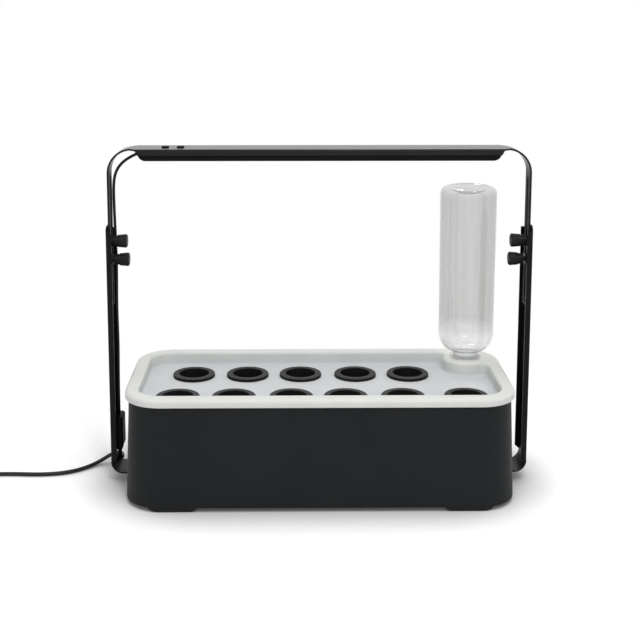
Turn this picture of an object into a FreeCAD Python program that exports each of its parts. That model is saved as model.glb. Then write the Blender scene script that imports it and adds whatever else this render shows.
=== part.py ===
import FreeCAD
import Part
import math
import os

V = FreeCAD.Vector
X_AXIS = V(1, 0, 0)
Y_AXIS = V(0, 1, 0)
Z_AXIS = V(0, 0, 1)
ORIGIN = V(0, 0, 0)

# Sizes are in millimetres. The origin is on the floor under the middle of the tub,
# X runs to the right along the front, Y away from the viewer and Z up.

# Tub
TUB_TOP_Z = 110.0
TUB_SIDE_DRAFT = 4.0
TUB_FRONT_DRAFT = 6.0
TUB_WALL = 2.5
TUB_FLOOR = 2.5
SKIRT_Z = 4.3
FOOT_FROM_END = 51.0
FOOT_LENGTH = 40.0
FOOT_SLOPE = 5.5
FOOT_DEPTH = 18.0
FOOT_PAD = 1.4
FOOT_PAD_INSET = 1.2

# Stand: one bent sheet, two channel legs joined by a strap under the tub
LEG_STAND_OFF = 21.4
STAND_SHEET = 1.5
STRAP_Z = 10.9
LEG_WIDTH = 36.0
LEG_FLANGE = 6.0
LEG_EDGE_ROUND = 1.2
LEG_BEND = 13.0
FLANGE_TOP_Z = 274.0
FLANGE_CHAMFER = 4.0
WEB_RISE = 6.5
WEB_CORNER = 8.0
NOTCH_CLEARANCE = 1.0

# Lamp bridge: one bent sheet, the lamp's cover with a slotted strap at each end
BRIDGE_SHEET = 2.0
BRIDGE_TOP_Z = 362.0
BRIDGE_SLIDE_GAP = 0.2
BRIDGE_BEND = 26.5
STRAP_WIDTH = 22.0
STRAP_END_Z = 192.0
SLOT_WIDTH = 6.5
SLOT_FROM_BEND = 4.8
SLOT_FROM_END = 3.8
COVER_DEPTH = 38.4
COVER_END_GAP = 30.7
TAPER_LENGTH = 7.5
TAPER_ROUND = 3.0
LIP_DROP = 6.2
LIP_FLARE = 1.8
LIP_END_INSET = 2.4
LIP_ROUND = 1.4

# Lamp housing and what it holds
LAMP_HEIGHT = 12.5
HOUSING_SIDE_INSET = 0.6
HOUSING_NECK_GAP = 0.6
HOUSING_END_INSET = 0.6
HOUSING_WALL = 2.0
HOUSING_END_WALL = 5.0
HOUSING_PLATE = 3.0
HOUSING_END_RADIUS = 8.5
HOUSING_EDGE_RADIUS = 2.0
RAIL_WIDTH = 1.6
RAIL_HEIGHT = 2.5
WINDOW_FROM_END = 24.4
WINDOW_SIDE_BAND = 5.8
REBATE_STEP = 2.2
DIFFUSER_THICKNESS = 1.5
FIT_GAP = 0.2
LED_BOARD_THICKNESS = 1.6
LED_BOARD_FROM_LEFT = 54.4
LED_BOARD_FROM_RIGHT = 19.4
LED_BOARD_MARGIN = 10.0
LED_SIZE = 3.0
LED_HEIGHT = 1.0
LED_PITCH = 16.8
LED_ROW_OFFSET = 5.5
CONTROL_BOARD_FROM_END = 18.4
CONTROL_BOARD_LENGTH = 34.0
CONTROL_BOARD_THICKNESS = 1.4
HOUSING_SCREW_FROM_END = 14.9
HOUSING_SCREW_FROM_WALL = 2.6
HOUSING_POST_RADIUS = 3.0
BUSH_RADIUS = 2.6
BUSH_HEIGHT = 3.2
HOUSING_SCREW_RADIUS = 1.2
HOUSING_SCREW_HEAD_RADIUS = 2.2
HOUSING_SCREW_HEAD = 1.6

# Buttons on top of the lamp
POWER_BUTTON_FROM_END = 29.7
BUTTON_PITCH = 16.0
BUTTON_SIZE = 7.4
BUTTON_ROUND = 1.2
BUTTON_EDGE_ROUND = 0.5
BUTTON_PROUD = 1.4
BUTTON_FLANGE = 1.0
BUTTON_FLANGE_RIM = 1.0
BUTTON_TRAVEL = 0.8
SWITCH_SIZE = 6.0
SWITCH_GAP = 0.1

# Clamps: fixed studs through the strap slots, washers and thumb nuts
STUD_FROM_TOP = 11.7
STUD_SPACING = 19.9
STUD_RADIUS = 2.5
STUD_SEAT_RADIUS = 3.2
STUD_LENGTH = 17.0
STUD_CLEARANCE = 0.05
WASHER_RADIUS = 6.0
WASHER_THICKNESS = 1.0
WASHER_BORE_CLEARANCE = 0.2
NUT_GAP = 0.1
NUT_COLLAR_RADIUS = 5.75
NUT_COLLAR = 5.4
NUT_HEAD_RADIUS = 7.25
NUT_HEAD_TAPER = 0.7
NUT_HEAD = 10.0
NUT_CHAMFER = 1.2
NUT_BORE_DEPTH = 12.6
NUT_GROOVES = 12
NUT_GROOVE_RADIUS = 1.0
NUT_GROOVE_DEPTH = 0.4
LOWER_NUT_LOOSE = 1.8

# Growing tray
RIM_SIDE_BAND = 14.5
RIM_FRONT_BAND = 15.0
RIM_SIDE_OVERHANG = 4.0
RIM_FRONT_OVERHANG = 2.0
RIM_CORNER = 40.0
RIM_RISE = 7.5
RIM_DROP = 1.5
RIM_TOP_ROUND = 4.0
RIM_BOTTOM_ROUND = 0.8
RECESS_CORNER = 24.0
RECESS_DROP = 15.0
RECESS_TOP_ROUND = 3.0
RECESS_FLOOR_ROUND = 3.0
TRAY_WALL = 2.2
GROOVE_CLEARANCE = 0.3
BOSS_FROM_SIDE = 21.5
BOSS_FROM_BACK = 20.0
BOSS_RADIUS = 25.0
BOSS_BLEND = 8.0
SOCKET_CLEARANCE = 0.5
SOCKET_WALL = 2.0
SOCKET_DROP = 13.5
SOCKET_SLOTS = 4
SOCKET_SLOT_WIDTH = 8.0
SOCKET_SLOT_HEIGHT = 7.0

# Grow cups
FRONT_ROW_MARGIN = 32.0
ROW_SPACING = 75.0
BACK_ROW_MARGIN = 39.0
FRONT_ROW_START = 38.9
FRONT_ROW_GAPS = (58.6, 60.0, 57.1, 59.9, 66.3)
FRONT_ROW_END = 34.2
BACK_ROW_START = 50.1
BACK_ROW_GAPS = (59.4, 58.4, 60.6, 58.2)
CUP_FLANGE_RADIUS = 23.0
CUP_FLANGE = 3.5
CUP_FLANGE_ROUND = 1.2
CUP_BORE_RADIUS = 16.5
CUP_BOTTOM_BORE_RADIUS = 13.0
CUP_WALL = 2.0
CUP_DEPTH = 48.0
CUP_HOLE_CLEARANCE = 0.5
CUP_SLOTS = 8
CUP_SLOT_WIDTH = 4.0
CUP_SLOT_TOP = 14.0
CUP_SLOT_BOTTOM = 6.0
CUP_DRAIN_RADIUS = 4.0

# Bottle, standing neck down
BOTTLE_RADIUS = 31.2
SHOULDER_RADIUS = 30.4
BOTTLE_ABOVE_RIM = 194.5
BOTTLE_WALL = 0.8
BOTTLE_BASE_ROUND = 8.0
PUNT_RADIUS = 18.0
PUNT_DEPTH = 8.0
PUNT_EDGE_DROP = 2.8
SHOULDER_HEIGHT = 22.0
NECK_BASE_RADIUS = 14.3
NECK_RADIUS = 12.45
NECK_BORE_RADIUS = 10.9
NECK_ABOVE_RING = 5.0
NECK_BELOW_RING = 21.0
SUPPORT_RING_RADIUS = 17.4
SUPPORT_RING = 3.0
THREAD_RADIUS = 13.7
THREAD_HEIGHT = 1.4
THREAD_PITCH = 5.0
CAP_RADIUS = 15.0
CAP_CLEARANCE = 0.2
CAP_PLATE = 1.6
CAP_HEIGHT = 17.0
CAP_HOLE_RADIUS = 4.0
SEAL_THICKNESS = 1.0
SEAL_RADIUS = 13.0

# Base screws through the strap into the tub
BASE_SCREW_X = 90.0
BASE_SCREW_Y = 10.0
BASE_SCREW_RADIUS = 1.9
BASE_SCREW_HEAD_RADIUS = 4.0
BASE_SCREW_HEAD = 2.2
BASE_SCREW_DEPTH = 8.0
BASE_BOSS_RADIUS = 5.0
BASE_BOSS_ROOF = 1.6
SCREW_CLEARANCE = 0.3
PILOT_CLEARANCE = 0.05

# Socket box on the left leg, its jack and screws
SOCKET_BOX_Z = (35.6, 69.7)
SOCKET_BOX_DEPTH = 10.1
SOCKET_BOX_WIDTH = 22.0
SOCKET_BOX_BACK_GAP = 1.5
SOCKET_BOX_WALL = 1.2
SOCKET_BOX_CHAMFER = 1.5
JACK_WIDTH = 9.0
JACK_HEIGHT = 14.0
JACK_BORE_CLEARANCE = 0.1
SOCKET_SCREW_Z = 60.0
SOCKET_SCREW_OFFSET = 6.8
SOCKET_SCREW_RADIUS = 1.15
SOCKET_SCREW_HEAD_RADIUS = 2.6
SOCKET_SCREW_HEAD = 1.3
SOCKET_SCREW_DEPTH = 5.5
SOCKET_POST_RADIUS = 2.6

# Plug at the socket box
PLUG_BARREL_RADIUS = 2.75
PLUG_BARREL = 9.5
PLUG_GRIP_RADIUS = 3.9
PLUG_GRIP = 2.6
PLUG_RELIEF = 4.0
PLUG_INSET = 0.6

# Lamp cable, in the left leg
CABLE_RADIUS = 1.55
CABLE_SIDE_Y = 6.0
CABLE_EXIT_INSET = 1.9
CABLE_EXIT_RISE = 0.1
CABLE_EXIT_SLOPE = 23.0
CABLE_RUN_IN = 5.6
CABLE_RUN_OUT = 12.4
CABLE_START_INSET = 2.0
CABLE_REST = 0.03
GROMMET_RADIUS = 2.7
GROMMET_LENGTH = 6.0
GROMMET_CLEARANCE = 0.3

# Power cord, its coil and its end
CORD_RADIUS = 2.1
CORD_REST = 0.05
COIL_START_X = -392.0
COIL_Y = 2.4
COIL_OUTER_RADIUS = 32.0
COIL_PITCH = 4.8
COIL_LAYER = 4.8
COIL_TURNS = 4
TAIL_DROP_LENGTH = 40.0
USB_GRIP_LENGTH = 24.0
USB_GRIP_WIDTH = 15.0
USB_GRIP_HEIGHT = 8.0
USB_GRIP_ROUND = 2.0
USB_SHELL_LENGTH = 12.0
USB_SHELL_WIDTH = 12.0
USB_SHELL_HEIGHT = 4.5
USB_SHELL_WALL = 0.4
USB_TONGUE_HEIGHT = 1.8

# Places worked out from the sizes above: the rows of cups set the tray, the tray the tub,
# the tub the stand, and the stand the lamp
RECESS_WIDTH = FRONT_ROW_START + sum(FRONT_ROW_GAPS) + FRONT_ROW_END
RECESS_DEPTH = FRONT_ROW_MARGIN + ROW_SPACING + BACK_ROW_MARGIN
RIM_WIDTH = RECESS_WIDTH + 2 * RIM_SIDE_BAND
RIM_DEPTH = RECESS_DEPTH + 2 * RIM_FRONT_BAND
TUB_TOP_WIDTH = RIM_WIDTH - 2 * RIM_SIDE_OVERHANG
TUB_TOP_DEPTH = RIM_DEPTH - 2 * RIM_FRONT_OVERHANG
TUB_TOP_CORNER = RIM_CORNER - RIM_SIDE_OVERHANG
TUB_BOTTOM_WIDTH = TUB_TOP_WIDTH + 2 * TUB_SIDE_DRAFT
TUB_BOTTOM_DEPTH = TUB_TOP_DEPTH + 2 * TUB_FRONT_DRAFT
TUB_BOTTOM_CORNER = TUB_TOP_CORNER + TUB_SIDE_DRAFT
FOOT_CENTRE_X = TUB_BOTTOM_WIDTH / 2 - FOOT_FROM_END
FLOOR_UNDER_Z = STRAP_Z + STAND_SHEET
FLOOR_TOP_Z = FLOOR_UNDER_Z + TUB_FLOOR
LEG_OUTER_X = TUB_BOTTOM_WIDTH / 2 + LEG_STAND_OFF
WEB_INNER_X = LEG_OUTER_X - STAND_SHEET
WEB_TOP_Z = FLANGE_TOP_Z + WEB_RISE
BRIDGE_OUTER_X = WEB_INNER_X - BRIDGE_SLIDE_GAP
BRIDGE_INNER_X = BRIDGE_OUTER_X - BRIDGE_SHEET
BRIDGE_BEND_X = BRIDGE_OUTER_X - BRIDGE_BEND
BRIDGE_BEND_Z = BRIDGE_TOP_Z - BRIDGE_BEND
SLOT_TOP_Z = BRIDGE_BEND_Z - SLOT_FROM_BEND
SLOT_BOTTOM_Z = STRAP_END_Z + SLOT_FROM_END
COVER_HALF_LENGTH = BRIDGE_OUTER_X - COVER_END_GAP
COVER_UNDER_Z = BRIDGE_TOP_Z - BRIDGE_SHEET
LIP_HALF_LENGTH = COVER_HALF_LENGTH - LIP_END_INSET
LIP_BOTTOM_Z = BRIDGE_TOP_Z - LIP_DROP
HOUSING_TOP_HALF_LENGTH = COVER_HALF_LENGTH - HOUSING_END_INSET
HOUSING_DEPTH = COVER_DEPTH - 2 * HOUSING_SIDE_INSET
HOUSING_NECK_DEPTH = COVER_DEPTH - 2 * (BRIDGE_SHEET + HOUSING_NECK_GAP)
HOUSING_BOTTOM_Z = BRIDGE_TOP_Z - LAMP_HEIGHT
HOUSING_PLATE_Z = HOUSING_BOTTOM_Z + HOUSING_PLATE
HOUSING_CAVITY_DEPTH = HOUSING_NECK_DEPTH - 2 * HOUSING_WALL
RAIL_TOP_Z = HOUSING_PLATE_Z + RAIL_HEIGHT
WINDOW_HALF_LENGTH = HOUSING_TOP_HALF_LENGTH - WINDOW_FROM_END
WINDOW_DEPTH = HOUSING_NECK_DEPTH - 2 * WINDOW_SIDE_BAND
HOUSING_SCREW_X = HOUSING_TOP_HALF_LENGTH - HOUSING_SCREW_FROM_END
HOUSING_SCREW_Y = HOUSING_CAVITY_DEPTH / 2 - HOUSING_SCREW_FROM_WALL
LED_BOARD_X = (LED_BOARD_FROM_LEFT - HOUSING_TOP_HALF_LENGTH, HOUSING_TOP_HALF_LENGTH - LED_BOARD_FROM_RIGHT)
LED_COLUMNS = int((LED_BOARD_X[1] - LED_BOARD_X[0] - 2 * LED_BOARD_MARGIN) / LED_PITCH) + 1
CONTROL_BOARD_LEFT = CONTROL_BOARD_FROM_END - HOUSING_TOP_HALF_LENGTH
CONTROL_BOARD_X = (CONTROL_BOARD_LEFT, CONTROL_BOARD_LEFT + CONTROL_BOARD_LENGTH)
POWER_BUTTON_X = POWER_BUTTON_FROM_END - COVER_HALF_LENGTH
CABLE_EXIT_X = CABLE_EXIT_INSET - HOUSING_TOP_HALF_LENGTH
CABLE_EXIT_Z = LIP_BOTTOM_Z + CABLE_EXIT_RISE
STUD_UPPER_Z = FLANGE_TOP_Z - STUD_FROM_TOP
STUD_HEIGHTS = {"upper": STUD_UPPER_Z, "lower": STUD_UPPER_Z - STUD_SPACING}
SOCKET_RADIUS = CAP_RADIUS + SOCKET_CLEARANCE
RIM_TOP_Z = TUB_TOP_Z + RIM_RISE
TRAY_FLOOR_Z = RIM_TOP_Z - RECESS_DROP
TRAY_UNDER_Z = TRAY_FLOOR_Z - TRAY_WALL
SOCKET_BOTTOM_Z = TRAY_FLOOR_Z - SOCKET_DROP
BOSS_X = RECESS_WIDTH / 2 - BOSS_FROM_SIDE
BOSS_Y = RECESS_DEPTH / 2 - BOSS_FROM_BACK
FRONT_ROW_Y = FRONT_ROW_MARGIN - RECESS_DEPTH / 2
BACK_ROW_Y = FRONT_ROW_Y + ROW_SPACING
BOTTLE_TOP_Z = RIM_TOP_Z + BOTTLE_ABOVE_RIM
CUP_TOP_Z = TRAY_FLOOR_Z + CUP_FLANGE
CUP_OUTER_RADIUS = CUP_BORE_RADIUS + CUP_WALL
CUP_HOLE_RADIUS = CUP_OUTER_RADIUS + CUP_HOLE_CLEARANCE
MOUTH_Z = RIM_TOP_Z - NECK_BELOW_RING
CAP_Z = MOUTH_Z - SEAL_THICKNESS - CAP_PLATE
SOCKET_BOX_Y = LEG_WIDTH / 2 - STAND_SHEET - SOCKET_BOX_BACK_GAP - SOCKET_BOX_WIDTH / 2
PLUG_X = -(WEB_INNER_X - (SOCKET_BOX_DEPTH - SOCKET_BOX_WALL) / 2 - PLUG_INSET)
JACK_BORE_RADIUS = PLUG_BARREL_RADIUS + JACK_BORE_CLEARANCE
CORD_FLOOR_Z = CORD_RADIUS + CORD_REST


def save(name, shape):
    """Write one named piece as a STEP file and report its volume."""
    if isinstance(shape, list):
        shape = Part.makeCompound(shape)
    if not shape.isValid():
        print("NOT VALID", name)
    shape.exportStep("parts/%s.step" % name)
    print("%-26s solids %3d volume %10.1f" % (name, len(shape.Solids), shape.Volume))


def box(x0, x1, y0, y1, z0, z1):
    """Box between two corners."""
    low = V(min(x0, x1), min(y0, y1), min(z0, z1))
    return Part.makeBox(abs(x1 - x0), abs(y1 - y0), abs(z1 - z0), low)


def cylinder(radius, length, base, direction=Z_AXIS):
    """Round bar from a base point along a direction."""
    return Part.makeCylinder(radius, length, base, direction)


def both_ends(shape):
    """The shape and its mirror image on the other side of the middle plane X = 0."""
    return [shape, shape.mirror(ORIGIN, X_AXIS)]


def rounded_rectangle(width, depth, radius, z):
    """Wire of a rectangle centred on the origin, with round corners, at height z."""
    edges = []
    half_x = width / 2 - radius
    half_y = depth / 2 - radius
    centres = [(half_x, -half_y, -90), (half_x, half_y, 0), (-half_x, half_y, 90), (-half_x, -half_y, 180)]
    last = V(-half_x, -depth / 2, z)
    for cx, cy, start in centres:
        points = []
        for turn in (0, 45, 90):
            angle = math.radians(start + turn)
            points.append(V(cx + radius * math.cos(angle), cy + radius * math.sin(angle), z))
        edges.append(Part.LineSegment(last, points[0]).toShape())
        edges.append(Part.Arc(points[0], points[1], points[2]).toShape())
        last = points[2]
    return Part.Wire(edges)


def rounded_prism(width, depth, radius, z0, z1):
    """Upright block with round vertical corners."""
    face = Part.Face(rounded_rectangle(width, depth, radius, z0))
    return face.extrude(V(0, 0, z1 - z0))


def prism(points, direction):
    """Solid swept from a polygon along a vector."""
    return Part.Face(Part.makePolygon(points + [points[0]])).extrude(direction)


def edges_at(shape, test):
    """Edges whose every sampled point passes a test."""
    picked = []
    for edge in shape.Edges:
        first, last = edge.ParameterRange
        samples = [edge.valueAt(first + (last - first) * k / 4) for k in range(5)]
        if all(test(p) for p in samples):
            picked.append(edge)
    return picked


def tub_body(inset, z0, z1):
    """Drafted block with the tub's outer form, drawn in by an inset, between two heights."""
    share0 = z0 / TUB_TOP_Z
    share1 = z1 / TUB_TOP_Z
    wires = []
    for share, z in ((share0, z0), (share1, z1)):
        width = TUB_BOTTOM_WIDTH + share * (TUB_TOP_WIDTH - TUB_BOTTOM_WIDTH) - 2 * inset
        depth = TUB_BOTTOM_DEPTH + share * (TUB_TOP_DEPTH - TUB_BOTTOM_DEPTH) - 2 * inset
        corner = TUB_BOTTOM_CORNER + share * (TUB_TOP_CORNER - TUB_BOTTOM_CORNER) - inset
        wires.append(rounded_rectangle(width, depth, corner, z))
    return Part.makeLoft(wires, True, True)


def foot_prism(side, z0, z1, inset):
    """Sloped-ended block of one foot, through the whole depth of the tub."""
    half = FOOT_LENGTH / 2 - inset
    slope = FOOT_SLOPE * (z1 - z0) / SKIRT_Z
    reach = TUB_BOTTOM_DEPTH
    points = [
        V(side * FOOT_CENTRE_X - half, -reach, z0),
        V(side * FOOT_CENTRE_X + half, -reach, z0),
        V(side * FOOT_CENTRE_X + half + slope, -reach, z1),
        V(side * FOOT_CENTRE_X - half - slope, -reach, z1),
    ]
    return prism(points, V(0, 2 * reach, 0))


def foot_depth_blocks(inset):
    """Front and back slabs that limit how far the feet reach in under the tub."""
    outer = TUB_BOTTOM_DEPTH
    inner = TUB_BOTTOM_DEPTH / 2 - FOOT_DEPTH + inset
    return [box(-outer * 2, outer * 2, side * inner, side * outer, 0, FLOOR_UNDER_Z) for side in (-1, 1)]


def base_screw_places():
    """Centres of the base screws."""
    return [(sx * BASE_SCREW_X, sy * BASE_SCREW_Y) for sx in (-1, 1) for sy in (-1, 1)]


def make_tub():
    """Open tub on a raised floor, with a skirt, moulded feet and notches for the strap."""
    tub = tub_body(0, FOOT_PAD, TUB_TOP_Z)
    tub = tub.cut(tub_body(TUB_WALL, FLOOR_TOP_Z, TUB_TOP_Z + 1))
    under = tub_body(TUB_WALL, 0, FLOOR_UNDER_Z)
    wide = TUB_BOTTOM_WIDTH
    skirt_relief = box(-wide, wide, -TUB_BOTTOM_DEPTH, TUB_BOTTOM_DEPTH, 0, SKIRT_Z)
    for side in (-1, 1):
        for slab in foot_depth_blocks(0):
            foot = foot_prism(side, 0, FLOOR_UNDER_Z, 0).common(slab)
            under = under.cut(foot)
            skirt_relief = skirt_relief.cut(foot)
    tub = tub.cut(under).cut(skirt_relief)
    notch = LEG_WIDTH / 2 + NOTCH_CLEARANCE
    tub = tub.cut(box(-wide, wide, -notch, notch, 0, FLOOR_UNDER_Z))
    boss_top = FLOOR_UNDER_Z + BASE_SCREW_DEPTH + BASE_BOSS_ROOF
    for x, y in base_screw_places():
        tub = tub.fuse(cylinder(BASE_BOSS_RADIUS, boss_top - FLOOR_TOP_Z, V(x, y, FLOOR_TOP_Z)))
    for x, y in base_screw_places():
        pilot = BASE_SCREW_RADIUS + PILOT_CLEARANCE
        tub = tub.cut(cylinder(pilot, BASE_SCREW_DEPTH, V(x, y, FLOOR_UNDER_Z)))
    save("tub", tub.removeSplitter())


def make_foot_pads():
    """Four thin rubber pads, one under each moulded foot."""
    pads = []
    outline = tub_body(FOOT_PAD_INSET, 0, FOOT_PAD)
    for side in (-1, 1):
        for slab in foot_depth_blocks(FOOT_PAD_INSET):
            pads.append(foot_prism(side, 0, FOOT_PAD, FOOT_PAD_INSET).common(outline).common(slab).Solids[0])
    save("foot_pads", pads)


def leg_channel():
    """Left leg: a web with a flange along each edge, chamfered at the bottom and rounded at the top."""
    start_z = STRAP_Z + LEG_BEND
    half = LEG_WIDTH / 2
    leg = box(-LEG_OUTER_X, -LEG_OUTER_X + LEG_FLANGE, -half, half, start_z, WEB_TOP_Z)
    leg = leg.makeFillet(LEG_EDGE_ROUND, edges_at(leg, lambda p: abs(p.x + LEG_OUTER_X) < 0.01
                                                   and abs(abs(p.y) - half) < 0.01))
    inner = half - STAND_SHEET
    leg = leg.cut(box(-WEB_INNER_X, 0, -inner, inner, start_z - 1, WEB_TOP_Z + 1))
    leg = leg.cut(box(-WEB_INNER_X, 0, -half - 1, half + 1, FLANGE_TOP_Z, WEB_TOP_Z + 1))
    flange_end = [
        V(-WEB_INNER_X, -half - 1, start_z - 1),
        V(-WEB_INNER_X + LEG_FLANGE, -half - 1, start_z - 1),
        V(-WEB_INNER_X + LEG_FLANGE, -half - 1, start_z + FLANGE_CHAMFER + STAND_SHEET),
        V(-WEB_INNER_X, -half - 1, start_z),
    ]
    leg = leg.cut(prism(flange_end, V(0, LEG_WIDTH + 2, 0)))
    plate = box(-LEG_OUTER_X - 1, 0, -half, half, 0, WEB_TOP_Z)
    plate = plate.makeFillet(WEB_CORNER, edges_at(plate, lambda p: abs(p.z - WEB_TOP_Z) < 0.01
                                                  and abs(abs(p.y) - half) < 0.01))
    return leg.common(plate)


def quarter_bend(outer, sheet, width, centre_x, centre_z, upper):
    """Quarter of a tube about a line along Y, on the outer side of the left end, above or below."""
    base = V(centre_x, -width / 2, centre_z)
    ring = cylinder(outer, width, base, Y_AXIS).cut(cylinder(outer - sheet, width, base, Y_AXIS))
    z_far = centre_z + outer + 1 if upper else centre_z - outer - 1
    return ring.common(box(centre_x - outer - 1, centre_x, -width, width, centre_z, z_far))


def make_stand_frame():
    """The whole stand in one bent sheet."""
    bend_x = -LEG_OUTER_X + LEG_BEND
    bend_z = STRAP_Z + LEG_BEND
    side = leg_channel().fuse(quarter_bend(LEG_BEND, STAND_SHEET, LEG_WIDTH, bend_x, bend_z, False))
    for z in STUD_HEIGHTS.values():
        side = side.cut(cylinder(STUD_SEAT_RADIUS, 2 * LEG_FLANGE, V(-LEG_OUTER_X - 1, 0, z), X_AXIS))
    half = LEG_WIDTH / 2
    frame = box(bend_x, -bend_x, -half, half, STRAP_Z, FLOOR_UNDER_Z)
    for piece in both_ends(side):
        frame = frame.fuse(piece)
    for x, y in base_screw_places():
        hole = BASE_SCREW_RADIUS + SCREW_CLEARANCE
        frame = frame.cut(cylinder(hole, 2 * STAND_SHEET, V(x, y, STRAP_Z - 0.5 * STAND_SHEET)))
    for screw in socket_screw_shapes(SCREW_CLEARANCE):
        frame = frame.cut(screw)
    save("stand_frame", frame.removeSplitter())


def make_base_screws():
    """Four pan-head screws from under the strap into the tub."""
    screws = []
    for x, y in base_screw_places():
        head = cylinder(BASE_SCREW_HEAD_RADIUS, BASE_SCREW_HEAD, V(x, y, STRAP_Z - BASE_SCREW_HEAD))
        shank = cylinder(BASE_SCREW_RADIUS, STAND_SHEET + BASE_SCREW_DEPTH - 0.5, V(x, y, STRAP_Z))
        screws.append(head.fuse(shank).removeSplitter())
    save("base_screws", screws)


def bridge_plan():
    """Outline of the bridge from above: full depth over the lamp, tapering to the strap at each end."""
    half = COVER_DEPTH / 2
    strap = STRAP_WIDTH / 2
    taper_x = COVER_HALF_LENGTH + TAPER_LENGTH
    end_x = LEG_OUTER_X
    quarter = [(COVER_HALF_LENGTH, half), (taper_x, strap), (end_x, strap)]
    outline = [(x, -y) for x, y in quarter] + [(x, y) for x, y in reversed(quarter)]
    outline += [(-x, y) for x, y in quarter] + [(-x, -y) for x, y in reversed(quarter)]
    points = [V(x, y, STRAP_END_Z) for x, y in outline]
    plan = prism(points, V(0, 0, BRIDGE_TOP_Z + 1 - STRAP_END_Z))
    corners = edges_at(plan, lambda p: COVER_HALF_LENGTH - 0.01 < abs(p.x) < taper_x + 0.01
                       and (abs(abs(p.y) - half) < 0.01 or abs(abs(p.y) - strap) < 0.01)
                       and (abs(abs(p.x) - COVER_HALF_LENGTH) < 0.01 or abs(abs(p.x) - taper_x) < 0.01))
    uprights = [e for e in corners if abs(e.BoundBox.ZLength) > 1]
    return plan.makeFillet(TAPER_ROUND, uprights)


def lip_section():
    """Both lips of the cover with the top between them, cut to slanted ends."""
    half = COVER_DEPTH / 2
    low = half + LIP_FLARE
    inner = half - BRIDGE_SHEET + BRIDGE_SHEET * LIP_FLARE / LIP_DROP
    points = [
        (-low, LIP_BOTTOM_Z), (-half, BRIDGE_TOP_Z), (half, BRIDGE_TOP_Z), (low, LIP_BOTTOM_Z),
        (low - BRIDGE_SHEET, LIP_BOTTOM_Z), (inner, COVER_UNDER_Z),
        (-inner, COVER_UNDER_Z), (-low + BRIDGE_SHEET, LIP_BOTTOM_Z),
    ]
    reach = COVER_HALF_LENGTH
    section = prism([V(-reach, y, z) for y, z in points], V(2 * reach, 0, 0))
    section = section.makeFillet(LIP_ROUND, edges_at(section, lambda p: abs(p.z - BRIDGE_TOP_Z) < 0.01
                                                     and abs(abs(p.y) - half) < 0.01))
    ends = [
        V(-COVER_HALF_LENGTH, -low, BRIDGE_TOP_Z), V(COVER_HALF_LENGTH, -low, BRIDGE_TOP_Z),
        V(COVER_HALF_LENGTH, -low, COVER_UNDER_Z), V(LIP_HALF_LENGTH, -low, LIP_BOTTOM_Z),
        V(-LIP_HALF_LENGTH, -low, LIP_BOTTOM_Z), V(-COVER_HALF_LENGTH, -low, COVER_UNDER_Z),
    ]
    return section.common(prism(ends, V(0, 2 * low, 0)))


def strap_slot():
    """Long slot in the left strap, round at both ends."""
    radius = SLOT_WIDTH / 2
    start = V(-LEG_OUTER_X, 0, SLOT_BOTTOM_Z + radius)
    rise = SLOT_TOP_Z - SLOT_BOTTOM_Z - SLOT_WIDTH
    depth = LEG_OUTER_X - BRIDGE_INNER_X + 1
    slot = cylinder(radius, depth, start, X_AXIS)
    slot = slot.fuse(cylinder(radius, depth, start + V(0, 0, rise), X_AXIS))
    return slot.fuse(box(start.x, start.x + depth, -radius, radius, start.z, start.z + rise))


def button_block(x, size, z0, z1, corner):
    """Upright block of one button, with round corners."""
    block = rounded_prism(size, size, corner, z0, z1)
    block.translate(V(x, 0, 0))
    return block


def button_places():
    """Centres of the two buttons along the lamp."""
    return {"power_button": POWER_BUTTON_X, "mode_button": POWER_BUTTON_X + BUTTON_PITCH}


def housing_screw_places():
    """Centres of the screws that hold the housing."""
    return [(sx * HOUSING_SCREW_X, sy * HOUSING_SCREW_Y) for sx in (-1, 1) for sy in (-1, 1)]


def make_lamp_bridge():
    """Cover, bends and slotted straps, with four threaded bushes welded under the cover."""
    half = COVER_DEPTH / 2
    sheet = box(BRIDGE_BEND_X, -BRIDGE_BEND_X, -half, half, COVER_UNDER_Z, BRIDGE_TOP_Z)
    bend = quarter_bend(BRIDGE_BEND, BRIDGE_SHEET, COVER_DEPTH, -BRIDGE_BEND_X, BRIDGE_BEND_Z, True)
    strap = box(-BRIDGE_OUTER_X, -BRIDGE_INNER_X, -half, half, STRAP_END_Z, BRIDGE_BEND_Z)
    side = bend.fuse(strap).cut(strap_slot())
    for piece in both_ends(side):
        sheet = sheet.fuse(piece)
    sheet = sheet.common(bridge_plan())
    lips = lip_section()
    covered = LIP_HALF_LENGTH
    sheet = sheet.cut(box(-covered, covered, -COVER_DEPTH, COVER_DEPTH, COVER_UNDER_Z - 1, BRIDGE_TOP_Z + 1))
    bridge = sheet.fuse(lips)
    for x, y in housing_screw_places():
        bridge = bridge.fuse(cylinder(BUSH_RADIUS, BUSH_HEIGHT, V(x, y, COVER_UNDER_Z - BUSH_HEIGHT)))
    for x, y in housing_screw_places():
        bore = HOUSING_SCREW_RADIUS + PILOT_CLEARANCE
        bridge = bridge.cut(cylinder(bore, BUSH_HEIGHT + 1, V(x, y, COVER_UNDER_Z - BUSH_HEIGHT)))
    for x in button_places().values():
        size = BUTTON_SIZE + 2 * FIT_GAP
        hole = button_block(x, size, COVER_UNDER_Z - 1, BRIDGE_TOP_Z + 1, BUTTON_ROUND + FIT_GAP)
        bridge = bridge.cut(hole)
    save("lamp_bridge", bridge.removeSplitter())


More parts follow.
